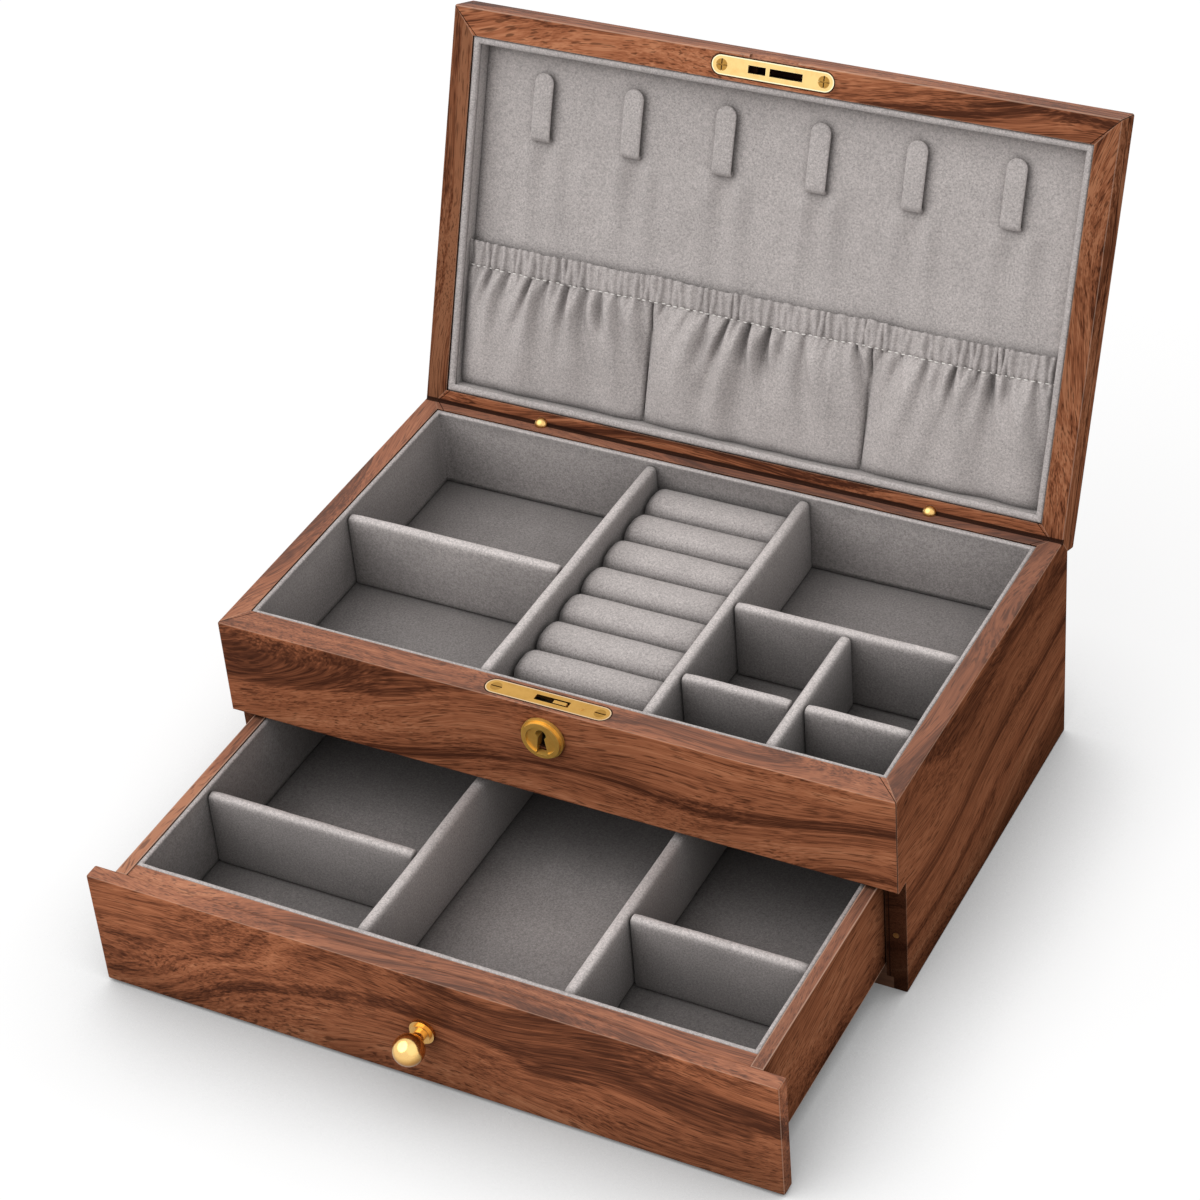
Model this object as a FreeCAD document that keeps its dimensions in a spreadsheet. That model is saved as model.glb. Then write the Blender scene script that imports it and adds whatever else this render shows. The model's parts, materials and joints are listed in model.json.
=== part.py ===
"""A walnut ring box with a lined tray, a hinged lid and a lined drawer.

The origin is the middle of the footprint, on the floor.  X runs to the right,
Y to the back and Z up.  The lid stands open on its bevels and the drawer is
pulled out; every lid piece is drawn closed about the hinge axis and then
turned, and every drawer piece is drawn closed and then slid forward.
"""
import FreeCAD, Part
import os
import re
import Sketcher

doc = FreeCAD.newDocument("ring_box_with_drawer")

# --------------------------------------------------------------------------
# Driving sizes, in millimetres and degrees
# --------------------------------------------------------------------------

SIZES = (
    # carcass
    ("box_width", 300, "outside, left to right"),
    ("box_depth", 182, "outside, front to back"),
    ("carcass_height", 104, "floor to the rim that the lid closes on"),
    ("side_wall", 9, "thickness of the side panels"),
    ("front_wall", 12, "thickness of the upper front panel"),
    ("back_wall", 12, "thickness of the back panel"),
    ("upper_front_height", 46, "rim to the lower edge of the upper front panel"),
    ("edge_round", 1, "radius of the eased outer edges"),
    ("groove_depth", 3, "depth of the grooves that hold the boards"),
    ("bottom_thick", 6, "thickness of the bottom board, which is flush below"),
    ("tray_depth", 37, "rim to the lined floor of the tray"),
    ("tray_board_thick", 4, "thickness of the board under the tray"),
    # lining
    ("lining_thick", 2, "suede-covered card on the walls"),
    ("floor_lining_thick", 1.5, "suede-covered card on the floors"),
    ("lining_drop", 0.8, "top of a wall lining below the wood"),
    ("divider_thick", 5.5, "thickness of the padded dividers"),
    ("divider_drop", 2, "top of a divider below the wood"),
    ("soft_gap", 0.3, "clearance between soft pieces"),
    # tray layout
    ("tray_left_x", -34, "middle of the left long divider"),
    ("tray_right_x", 38, "middle of the right long divider"),
    ("tray_left_cross_y", -3, "middle of the left cross divider"),
    ("tray_right_cross_y", 1, "middle of the right cross divider"),
    ("grid_x", 91, "middle of the divider along the small grid"),
    ("grid_y", -48.5, "middle of the divider across the small grid"),
    # ring rolls
    ("roll_count", 7, "number of ring rolls"),
    ("roll_end_flat", 0.65, "radius of the flat left on a roll's rounded ends"),
    ("ring_base_height", 7.7, "foam under the rolls"),
    ("ring_block_height", 19, "end block in front of the rolls"),
    ("ring_block_length", 13.4, "end block, front to back"),
    # lid
    ("lid_height", 16, "lid, closed, from its rim to its top"),
    ("lid_side_rail", 10, "width of the lid's side rails"),
    ("lid_front_rail", 12, "width of the lid's front rail"),
    ("lid_back_rail", 12, "width of the lid's back rail"),
    ("lid_panel_thick", 4, "thickness of the lid's top panel"),
    ("lid_rebate", 5, "panel's overlap on the rails"),
    ("lid_gap", 0.3, "clearance between the two rims, closed"),
    ("lid_open_angle", 110, "opening at which the bevels meet"),
    ("hinge_inset", 6.5, "hinge axis in from the back face"),
    ("lid_pad_thick", 2, "padded card inside the lid"),
    ("finger_width", 22, "finger recess under the lid's front edge"),
    ("finger_depth", 1.2, "how deep the finger recess is cut"),
    ("finger_height", 3, "how far up the edge the finger recess goes"),
    ("finger_upright", 1, "how far up it goes at its full depth"),
    # necklace tabs
    ("tab_count", 6, "number of necklace tabs"),
    ("tab_pitch", 43, "middle to middle of two tabs"),
    ("tab_width", 10, "width of a tab"),
    ("tab_length", 30, "length of a tab"),
    ("tab_thick", 1.6, "thickness of a tab's flap"),
    ("tab_standoff", 2, "flap's distance from the pad"),
    ("tab_foot", 3, "height of the fold that holds the tab"),
    ("tab_setback", 24, "lid's front edge to the end of a tab"),
    # elastic pocket
    ("pocket_height", 66, "pocket, from its bottom to its mouth"),
    ("pocket_cloth", 1.2, "thickness of the gathered cloth"),
    ("pocket_room", 3, "room between the cloth and the pad"),
    ("pocket_seam", 3, "width of the seams and the hem"),
    ("pocket_left_seam_x", -47, "middle of the left seam"),
    ("pocket_right_seam_x", 55, "middle of the right seam"),
    # hinge barrels
    ("hinge_x", 91.5, "middle of the box to each hinge"),
    ("barrel_radius", 3, "radius of a hinge barrel"),
    ("barrel_length", 10, "hinge axis to the end of a barrel"),
    ("barrel_start", 3.2, "hinge axis to the body of a barrel"),
    ("barrel_fit", 0.05, "clearance of a barrel in its bore"),
    ("knuckle_radius", 2.1, "radius of the knuckles about the axis"),
    ("ear_thick", 1.2, "thickness of each outer knuckle"),
    ("tongue_thick", 1.8, "thickness of the middle knuckle"),
    ("knuckle_gap", 0.1, "side clearance between the knuckles"),
    ("hinge_pin_radius", 0.7, "radius of a hinge pin"),
    ("running_fit", 0.05, "clearance of a pin in what turns on it"),
    # lock
    ("plate_length", 55, "lock plate and strike plate, end to end"),
    ("plate_width", 8.2, "lock plate and strike plate, across"),
    ("plate_thick", 1.5, "thickness of both plates"),
    ("plate_fit", 0.1, "clearance round a plate in its recess"),
    ("plate_screw_x", 23, "middle of the plate to each screw"),
    ("slot_left", -5.5, "left end of the bolt slot"),
    ("slot_right", 9.5, "right end of the bolt slot"),
    ("slot_width", 3.3, "width of the bolt slot"),
    ("rivet_x", 15.2, "flush rivet in the lock plate"),
    ("rivet_radius", 0.9, "radius of that rivet"),
    ("rivet_proud", 0.12, "how far that rivet stands up"),
    ("strike_small_left", -11, "strike's small opening, left end"),
    ("strike_small_right", -3.1, "strike's small opening, right end"),
    ("strike_large_left", -1.3, "strike's large opening, left end"),
    ("strike_large_right", 13.5, "strike's large opening, right end"),
    ("case_width", 32, "lock case, left to right"),
    ("case_depth", 8, "lock case, front to back"),
    ("case_height", 22, "lock case, below the plate"),
    ("case_wall", 1, "thickness of the lock case"),
    ("key_drop", 11.7, "rim to the middle of the keyhole's round part"),
    ("key_radius", 2.3, "round part of the keyhole"),
    ("key_slot_top", 2.4, "width of the keyhole's slot at its top"),
    ("key_slot_foot", 5, "width of the keyhole's slot at its foot"),
    ("key_slot_drop", 9.4, "middle of the round part to the end of the slot"),
    ("drill_pin_radius", 0.9, "pin that guides a hollow key"),
    ("drill_pin_short", 0.5, "end of that pin behind the case's front face"),
    ("bolt_pivot_x", -4.8, "pivot of the hook bolt"),
    ("bolt_pivot_drop", 8, "rim to the pivot of the hook bolt"),
    ("bolt_inner", 10.8, "inner radius of the hook"),
    ("bolt_outer", 15.2, "outer radius of the hook"),
    ("bolt_thick", 1.8, "thickness of the hook bolt"),
    ("bolt_tail_angle", 14, "tail of the hook, below level"),
    ("bolt_spoke_angle", 8, "spoke of the hook, below level"),
    ("bolt_tip_drop", 0.1, "tip of the drawn-in hook below the plate"),
    ("bolt_hub_radius", 2.6, "hub of the hook bolt"),
    ("bolt_spoke", 2.6, "width of the spoke of the hook bolt"),
    ("bolt_pin_radius", 1.2, "pin that the hook bolt turns on"),
    ("bolt_room_left", -8.5, "mortise over the strike, left end"),
    ("bolt_room_right", 14.2, "mortise over the strike, right end"),
    ("bolt_room_height", 8.5, "depth of that mortise from the rim"),
    ("bolt_room_side", 0.5, "that mortise past the opening, front and back"),
    ("small_room_height", 4.2, "depth of the mortise over the small opening"),
    ("escutcheon_drop", 14.3, "rim to the middle of the keyhole plate"),
    ("escutcheon_radius", 9.3, "keyhole plate"),
    ("escutcheon_foot", 1.6, "thickness of its lower tier"),
    ("escutcheon_inset", 0.9, "width of the step to its upper tier"),
    ("escutcheon_thick", 3, "how far the keyhole plate stands out"),
    ("escutcheon_bead", 1.8, "width of its raised ring"),
    ("escutcheon_step", 0.8, "depth of its face below the ring"),
    ("spigot_radius", 5.6, "part of the keyhole plate inside the wood"),
    ("spigot_length", 1.8, "length of that part"),
    # screws
    ("screw_head_radius", 2.6, "countersunk head"),
    ("screw_head_height", 1.5, "countersunk head"),
    ("screw_radius", 1.2, "shank"),
    ("screw_length", 9, "overall"),
    ("screw_drive_width", 0.6, "width of the slot or cross"),
    ("screw_drive_depth", 0.7, "depth of the slot or cross"),
    # drawer
    ("drawer_out", 110, "how far the drawer is pulled out here"),
    ("drawer_travel", 120, "how far it comes out before its stop"),
    ("drawer_front_thick", 14, "thickness of the drawer front"),
    ("drawer_lip", 7, "lip that closes over the carcass"),
    ("drawer_lip_gap", 0.5, "lip to the edge that it closes over"),
    ("drawer_top_gap", 1, "drawer front to the panel above it"),
    ("drawer_floor_gap", 1.2, "drawer front to the floor"),
    ("drawer_side_gap", 0.6, "drawer side to the carcass, each side"),
    ("runner_height", 5, "runners under the drawer's sides"),
    ("drawer_slide_gap", 0.3, "drawer side above its runner"),
    ("drawer_side_thick", 5, "thickness of the sides and the back"),
    ("drawer_side_drop", 0.5, "top of the sides below the front"),
    ("drawer_length", 166, "front's face to the end of the sides"),
    ("drawer_bottom_thick", 3, "thickness of the drawer bottom"),
    ("drawer_bottom_lift", 3, "side's lower edge to the drawer bottom"),
    ("drawer_groove", 2, "groove that holds the drawer bottom"),
    ("drawer_left_x", -34, "middle of the left long divider"),
    ("drawer_right_x", 55.5, "middle of the right long divider"),
    ("drawer_cross_back", 64.5, "front's face to the cross dividers"),
    ("kicker_width", 9, "kickers over the sides, and runners under them"),
    ("kicker_gap", 0.5, "drawer side to the kicker"),
    ("stop_length", 80, "stop strip, left to right"),
    ("stop_width", 10, "stop strip, front to back"),
    ("stop_height", 7.5, "stop strip above the bottom board"),
    ("stop_gap", 0.3, "clearance left at the end of the travel"),
    ("bumper_radius", 1.25, "bumper in the edge behind the lip"),
    ("bumper_length", 3, "bumper, end to end"),
    ("bumper_proud", 0.4, "how far a bumper stands out"),
    # knob
    ("knob_ball_radius", 6.5, "ball of the knob"),
    ("knob_reach", 11.2, "drawer front to the middle of the ball"),
    ("knob_neck_radius", 2.6, "neck of the knob"),
    ("knob_foot_radius", 5.4, "foot of the knob"),
    ("knob_foot_thick", 1.4, "foot of the knob"),
    ("knob_step_radius", 4.2, "step on the foot"),
    ("knob_step_thick", 1.2, "step on the foot"),
    ("knob_screw_radius", 1.6, "screw that holds the knob"),
    ("knob_screw_head", 3.6, "head of that screw"),
    ("knob_screw_head_height", 2, "head of that screw"),
    ("knob_screw_grip", 6, "screw's length inside the knob"),
)

sheet = doc.addObject("Spreadsheet::Sheet", "sizes")
for row, (alias, number, note) in enumerate(SIZES, start=1):
    sheet.set(f"A{row}", alias)
    sheet.set(f"B{row}", str(number))
    sheet.set(f"C{row}", note)
    sheet.setAlias(f"B{row}", alias)
doc.recompute()

ALIASES = {alias for alias, number, note in SIZES}


def size(alias):
    """The number that a driving size holds."""
    return float(getattr(sheet, alias))


def bound(text):
    """Expression text in which each driving size is read from the sheet."""
    def point_at_sheet(match):
        word = match.group()
        return f"sizes.{word}" if word in ALIASES else word
    return re.sub(r"[a-z][a-z_]*", point_at_sheet, text)


desk = doc.addObject("Spreadsheet::Sheet", "desk")


def number(text):
    """The present value of an expression of the driving sizes."""
    desk.set("A1", "=" + bound(text))
    desk.recompute()
    return float(desk.get("A1"))


# --------------------------------------------------------------------------
# Places that several pieces share, as expressions of the driving sizes
# --------------------------------------------------------------------------

HALF_WIDTH = "(box_width / 2)"
FRONT = "(-box_depth / 2)"
BACK = "(box_depth / 2)"
RIM = "(carcass_height)"
INNER_X = "(box_width / 2 - side_wall)"
FRONT_INNER = f"({FRONT} + front_wall)"
BACK_INNER = f"({BACK} - back_wall)"
APRON = "(carcass_height - upper_front_height)"
SETBACK = f"({FRONT} + drawer_lip + drawer_lip_gap)"
TRAY_FLOOR = "(carcass_height - tray_depth)"
TRAY_BOARD_TOP = f"({TRAY_FLOOR} - floor_lining_thick)"
TRAY_BOARD_LOW = f"({TRAY_BOARD_TOP} - tray_board_thick)"
DIVIDER_TOP = "(carcass_height - divider_drop)"
LINING_TOP = "(carcass_height - lining_drop)"
HALF_DIVIDER = "(divider_thick / 2)"

PIVOT_Y = f"({BACK} - hinge_inset)"
PIVOT_Z = "(carcass_height + lid_gap / 2)"
BEVEL_SLOPE = "tan(lid_open_angle / 2)"

LOCK_Y = f"({FRONT} + front_wall / 2)"
KEY_Z = "(carcass_height - key_drop)"
ESCUTCHEON_Z = "(carcass_height - escutcheon_drop)"
BOLT_PIVOT_Z = "(carcass_height - bolt_pivot_drop)"
PLATE_LOW = "(carcass_height - plate_thick)"
CASE_LOW = f"({PLATE_LOW} - case_height)"

# the drawer, closed
DRAWER_HALF = f"({INNER_X} - drawer_side_gap)"
DRAWER_INNER = f"({DRAWER_HALF} - drawer_side_thick)"
RUNNER_TOP = "(bottom_thick + runner_height)"
DRAWER_LOW = f"({RUNNER_TOP} + drawer_slide_gap)"
DRAWER_FRONT_TOP = f"({APRON} - drawer_top_gap)"
DRAWER_SIDE_TOP = f"({DRAWER_FRONT_TOP} - drawer_side_drop)"
DRAWER_LIP_BACK = f"({FRONT} + drawer_lip)"
DRAWER_FRONT_BACK = f"({FRONT} + drawer_front_thick)"
DRAWER_END = f"({FRONT} + drawer_length)"
DRAWER_BACK_INNER = f"({DRAWER_END} - drawer_side_thick)"
DRAWER_BOARD_LOW = f"({DRAWER_LOW} + drawer_bottom_lift)"
DRAWER_BOARD_TOP = f"({DRAWER_BOARD_LOW} + drawer_bottom_thick)"
DRAWER_FLOOR = f"({DRAWER_BOARD_TOP} + floor_lining_thick)"
DRAWER_MIDDLE_Z = f"((drawer_floor_gap + {DRAWER_FRONT_TOP}) / 2)"

# the lid, closed, measured from the hinge axis
LID_RIM = "(lid_gap / 2)"
LID_TOP = f"({LID_RIM} + lid_height)"
LID_FRONT = f"({FRONT} - {PIVOT_Y})"
LID_BACK = f"({BACK} - {PIVOT_Y})"
LID_INNER_X = "(box_width / 2 - lid_side_rail)"
LID_FRONT_INNER = f"({LID_FRONT} + lid_front_rail)"
LID_BACK_INNER = f"({LID_BACK} - lid_back_rail)"
LID_PANEL_LOW = f"({LID_TOP} - lid_panel_thick)"
LID_PAD_FACE = f"({LID_PANEL_LOW} - lid_pad_thick)"
LID_LOCK_Y = f"({LOCK_Y} - {PIVOT_Y})"

# How each group of pieces is carried from the place where it is drawn
IN_DRAWER = "placement(vector(0; -drawer_out; 0); rotation(vector(1; 0; 0); 0))"
IN_LID = (f"placement(vector(0; {PIVOT_Y}; {PIVOT_Z});"
          " rotation(vector(1; 0; 0); -lid_open_angle))")

# How far a cutting tool runs past the face that it starts from
PAST = "1"

NO_TURN = "rotation(vector(0; 0; 1); 0)"
TURN_TO = {
    "x": "rotation(vector(0; 1; 0); 90)",
    "y": "rotation(vector(1; 0; 0); -90)",
    "-y": "rotation(vector(1; 0; 0); 90)",
    "z": NO_TURN,
    "-z": "rotation(vector(1; 0; 0); 180)",
}

# --------------------------------------------------------------------------
# Ways to make a piece
# --------------------------------------------------------------------------

pieces = {}
spots = {}


def place(thing, x="0", y="0", z="0", turn=NO_TURN):
    """Put a thing at x, y, z and turn it."""
    spots[thing.Name] = f"placement(vector({x}; {y}; {z}); {turn})"
    thing.setExpression("Placement", bound(spots[thing.Name]))


def keep(node, thing, carried=""):
    """Label a finished sub-part with its node's name, and carry it if asked."""
    thing.Label = node
    if carried:
        spot = spots.get(thing.Name, f"placement(vector(0; 0; 0); {NO_TURN})")
        thing.setExpression("Placement", bound(f"{carried} * {spot}"))
    pieces[node] = thing
    return thing


def block(name, x_span, y_span, z_span):
    """A box between two corners, given as spans along X, Y and Z."""
    box = doc.addObject("Part::Box", name)
    for side, (low, high) in zip(("Length", "Width", "Height"),
                                 (x_span, y_span, z_span)):
        box.setExpression(side, bound(f"{high} - ({low})"))
    place(box, x_span[0], y_span[0], z_span[0])
    return box


def rod(name, start, along, radius, length):
    """A cylinder from a point, along x, y, -y, z or -z."""
    cylinder = doc.addObject("Part::Cylinder", name)
    cylinder.setExpression("Radius", bound(radius))
    cylinder.setExpression("Height", bound(length))
    place(cylinder, *start, turn=TURN_TO[along])
    return cylinder


def cone(name, start, along, radius, end_radius, length):
    """A cone from a point, along one of the directions of a rod."""
    solid = doc.addObject("Part::Cone", name)
    solid.setExpression("Radius1", bound(radius))
    solid.setExpression("Radius2", bound(end_radius))
    solid.setExpression("Height", bound(length))
    place(solid, *start, turn=TURN_TO[along])
    return solid


def ball(name, centre, radius):
    """A sphere."""
    sphere = doc.addObject("Part::Sphere", name)
    sphere.setExpression("Radius", bound(radius))
    place(sphere, *centre)
    return sphere


def fuse(name, things):
    """Several solids joined into one."""
    joined = doc.addObject("Part::MultiFuse", name)
    joined.Shapes = things
    joined.Refine = True
    return joined


def cut(name, base, tools):
    """A solid with its tools taken out of it."""
    result = doc.addObject("Part::Cut", name)
    result.Base = base
    result.Tool = tools[0] if len(tools) == 1 else fuse(name + "_tools", tools)
    result.Refine = True
    return result


def common(name, base, tool):
    """What two solids share."""
    shared = doc.addObject("Part::Common", name)
    shared.Base = base
    shared.Tool = tool
    shared.Refine = True
    return shared


def group(name, things):
    """Separate solids kept together."""
    gathered = doc.addObject("Part::Compound", name)
    gathered.Links = things
    return gathered


def eased(name, base, radius, chosen=None):
    """A solid with its edges rounded, all of them or the chosen ones."""
    doc.recompute()
    rounded = doc.addObject("Part::Fillet", name)
    rounded.Base = base
    rounded.Edges = [(index, radius, radius)
                     for index, edge in enumerate(base.Shape.Edges, start=1)
                     if chosen is None or chosen(edge)]
    return rounded


def origin_plane(body, role):
    """One of a body's own origin planes."""
    return next(feature for feature in body.Origin.OriginFeatures
                if feature.Role == role)


def outline(body, role, corners):
    """A closed polygon on a body's own plane, its corners bound to sizes."""
    sketch = body.newObject("Sketcher::SketchObject", body.Name + "_outline")
    sketch.AttachmentSupport = [(origin_plane(body, role), "")]
    sketch.MapMode = "FlatFace"
    ends = [tuple(number(text) for text in corner) for corner in corners]
    count = len(corners)
    for index in range(count):
        start = FreeCAD.Vector(*ends[index], 0)
        end = FreeCAD.Vector(*ends[(index + 1) % count], 0)
        sketch.addGeometry(Part.LineSegment(start, end), False)
    for index in range(count):
        following = (index + 1) % count
        sketch.addConstraint(Sketcher.Constraint("Coincident", index, 2, following, 1))
    for index, corner in enumerate(corners):
        for kind, text, spot in zip(("DistanceX", "DistanceY"), corner, ends[index]):
            constraint = Sketcher.Constraint(kind, -1, 1, index, 1, spot)
            entry = sketch.addConstraint(constraint)
            label = f"{kind[-1].lower()}{index}"
            sketch.renameConstraint(entry, label)
            sketch.setExpression("Constraints." + label, bound(text))
    return sketch


def prism(name, role, corners, length, x="0", y="0", z="0"):
    """A polygon on one of a body's planes, padded along the plane's normal."""
    body = doc.addObject("PartDesign::Body", name)
    sketch = outline(body, role, corners)
    pad = body.newObject("PartDesign::Pad", name + "_pad")
    pad.Profile = sketch
    pad.setExpression("Length", bound(length))
    place(body, x, y, z)
    return body


def turned(name, corners, x="0", y="0", z="0", turn=NO_TURN):
    """A half profile of radius and height, turned about its own Z axis."""
    body = doc.addObject("PartDesign::Body", name)
    sketch = outline(body, "XZ_Plane", corners)
    turning = body.newObject("PartDesign::Revolution", name + "_turning")
    turning.Profile = sketch
    turning.ReferenceAxis = (sketch, ["V_Axis"])
    turning.Angle = 360
    place(body, x, y, z, turn=turn)
    return body


def mirrored_x(node, make):
    """Make the left piece and the right piece of a pair."""
    for side, sign in (("left", "-1"), ("right", "1")):
        make(node.format(side), side, sign)


def upright_divider(name, x_span, y_span, z_span, along):
    """A padded divider: a block whose top is a half round along x or y."""
    radius = HALF_DIVIDER
    axis_z = f"({z_span[1]} - {radius})"
    if along == "y":
        start = (f"{x_span[0]} + {radius}", y_span[0], axis_z)
        length = f"{y_span[1]} - ({y_span[0]})"
    else:
        start = (x_span[0], f"{y_span[0]} + {radius}", axis_z)
        length = f"{x_span[1]} - ({x_span[0]})"
    stem = block(name + "_stem", x_span, y_span, (z_span[0], axis_z))
    crest = rod(name + "_crest", start, along, radius, length)
    return fuse(name, [stem, crest])


def wall_cards(name, x_half, y_span, z_span):
    """Four cards of lining that stand against four walls."""
    low_y, high_y = y_span
    full = (f"-{x_half}", x_half)
    inner_y = (f"({low_y} + lining_thick)", f"({high_y} - lining_thick)")
    front = block(name + "_front", full, (low_y, inner_y[0]), z_span)
    back = block(name + "_back", full, (inner_y[1], high_y), z_span)
    left = block(name + "_left", (f"-{x_half}", f"(lining_thick - {x_half})"), inner_y, z_span)
    right = block(name + "_right", (f"({x_half} - lining_thick)", x_half), inner_y, z_span)
    return group(name, [front, back, left, right])


def stadium(name, middle_y, z_span):
    """A plate with round ends, in the middle of the box's width."""
    end_x = "(plate_length / 2 - plate_width / 2)"
    height = f"{z_span[1]} - ({z_span[0]})"
    bar = block(name + "_bar", (f"-{end_x}", end_x),
                (f"({middle_y} - plate_width / 2)", f"({middle_y} + plate_width / 2)"), z_span)
    ends = [rod(name + "_end" + side, (f"{sign} * {end_x}", middle_y, z_span[0]), "z",
                "plate_width / 2", height)
            for side, sign in (("_left", "-1"), ("_right", "1"))]
    return fuse(name, [bar] + ends)


def screw_at(name, x, y, z, into, cross):
    """A countersunk screw whose head is at z; into is -z or z."""
    sign = "-1" if into == "-z" else "1"
    head = cone(name + "_head", (x, y, z), into, "screw_head_radius", "screw_radius",
                "screw_head_height")
    shank = rod(name + "_shank", (x, y, z), into, "screw_radius", "screw_length")
    reach = (f"({x} - screw_head_radius - {PAST})", f"({x} + screw_head_radius + {PAST})")
    narrow = (f"({y} - screw_drive_width / 2)", f"({y} + screw_drive_width / 2)")
    inside = f"({z} + {sign} * screw_drive_depth)"
    outside = f"({z} - {sign} * {PAST})"
    deep = (inside, outside) if into == "-z" else (outside, inside)
    drives = [block(name + "_drive", reach, narrow, deep)]
    if cross:
        across = (f"({x} - screw_drive_width / 2)", f"({x} + screw_drive_width / 2)")
        along = (f"({y} - screw_head_radius - {PAST})", f"({y} + screw_head_radius + {PAST})")
        drives.append(block(name + "_cross", across, along, deep))
    return cut(name, fuse(name + "_blank", [head, shank]), drives)


def screw_tools(name, y, z, into, thing):
    """Tools for the two screws of a plate: their sinks, or their pilot holes."""
    tools = []
    for side, sign in (("_left", "-1"), ("_right", "1")):
        start = (f"{sign} * plate_screw_x", y, z)
        if thing == "sink":
            tools.append(cone(name + side, start, into, "screw_head_radius", "screw_radius",
                              "screw_head_height"))
        else:
            tools.append(rod(name + side, start, into, "screw_radius", "screw_length"))
    return tools


# --------------------------------------------------------------------------
# Carcass panels
# --------------------------------------------------------------------------

EASE = size("edge_round")
FULL_X = (f"-{HALF_WIDTH}", HALF_WIDTH)

carcass_envelope = eased("carcass_envelope",
                         block("carcass_block", FULL_X, (FRONT, BACK), ("0", RIM)), EASE)

GROOVE_X = f"({INNER_X} + groove_depth)"
GROOVE_Y = f"({BACK_INNER} + groove_depth)"
BOTTOM_SPANS = ((f"-{GROOVE_X}", GROOVE_X), (SETBACK, GROOVE_Y), ("0", "bottom_thick"))
TRAY_SPANS = ((f"-{GROOVE_X}", GROOVE_X), (f"({FRONT_INNER} - groove_depth)", GROOVE_Y),
              (TRAY_BOARD_LOW, TRAY_BOARD_TOP))

keep("bottom_board", block("bottom_board", *BOTTOM_SPANS))
keep("tray_floor_board", block("tray_floor_board", *TRAY_SPANS))

# The wood above the bevel that runs from the hinge axis down to the back face
OVER = f"(hinge_inset + {PAST})"
carcass_bevel = prism("carcass_bevel", "YZ_Plane",
                      (("0", "0"), (OVER, f"(-{OVER} * {BEVEL_SLOPE})"), (OVER, "0")),
                      f"box_width + 2 * {PAST}", x=f"-{HALF_WIDTH} - {PAST}", y=PIVOT_Y, z=PIVOT_Z)


def hinge_bores(name, x, y, z, into):
    """The two bores for hinge barrels, from the hinge axis into the wood."""
    return [rod(name + side, (f"{sign} * hinge_x", y, z), into,
                "(barrel_radius + barrel_fit)", "(barrel_length + barrel_fit)")
            for side, sign in (("_left", "-1"), ("_right", "1"))]


def side_panel(node, side, sign):
    """A side panel, mitred at both ends and set back below the front panel."""
    outer = f"({sign} * {HALF_WIDTH})"
    inner = f"({sign} * {INNER_X})"
    upper = prism(node + "_upper", "XY_Plane",
                  ((outer, FRONT), (inner, FRONT_INNER), (inner, BACK_INNER), (outer, BACK)),
                  "upper_front_height", z=APRON)
    lower = prism(node + "_lower", "XY_Plane",
                  ((outer, SETBACK), (inner, SETBACK), (inner, BACK_INNER), (outer, BACK)), APRON)
    blank = fuse(node + "_blank", [upper, lower])
    bumper_hole = rod(node + "_bumper_hole",
                      (f"({sign} * ({HALF_WIDTH} - side_wall / 2))", SETBACK, DRAWER_MIDDLE_Z),
                      "y", "bumper_radius", "bumper_length - bumper_proud")
    grooves = [block(node + "_low_groove", *BOTTOM_SPANS),
               block(node + "_tray_groove", *TRAY_SPANS), bumper_hole, carcass_bevel]
    sharp = cut(node + "_sharp", blank, grooves)
    keep(node, common(node, sharp, carcass_envelope))


mirrored_x("{}_side_panel", side_panel)

back_blank = prism("back_blank", "XY_Plane",
                   ((f"-{HALF_WIDTH}", BACK), (f"-{INNER_X}", BACK_INNER),
                    (INNER_X, BACK_INNER), (HALF_WIDTH, BACK)), RIM)
back_sharp = cut("back_sharp", back_blank,
                 [block("back_low_groove", *BOTTOM_SPANS),
                  block("back_tray_groove", *TRAY_SPANS), carcass_bevel]
                 + hinge_bores("carcass_bore", "hinge_x", PIVOT_Y, PIVOT_Z, "-z"))
keep("back_panel", common("back_panel", back_sharp, carcass_envelope))

# --------------------------------------------------------------------------
# Upper front panel and its lock
# --------------------------------------------------------------------------

CASE_X = "(case_width / 2)"
CASE_Y = (f"({LOCK_Y} - case_depth / 2)", f"({LOCK_Y} + case_depth / 2)")
SLOT_X = ("slot_left", "slot_right")
SLOT_Y = (f"({LOCK_Y} - slot_width / 2)", f"({LOCK_Y} + slot_width / 2)")

front_blank = prism("front_blank", "XY_Plane",
                    ((f"-{HALF_WIDTH}", FRONT), (HALF_WIDTH, FRONT),
                     (INNER_X, FRONT_INNER), (f"-{INNER_X}", FRONT_INNER)),
                    "upper_front_height", z=APRON)


NEAR = 1e-6


def low_front_edge(edge):
    """Whether an edge is the lower outer edge of the upper front panel."""
    apron = number(APRON)
    face = number(FRONT)
    return all(abs(vertex.Z - apron) < NEAR and abs(vertex.Y - face) < NEAR
               for vertex in edge.Vertexes)


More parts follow.
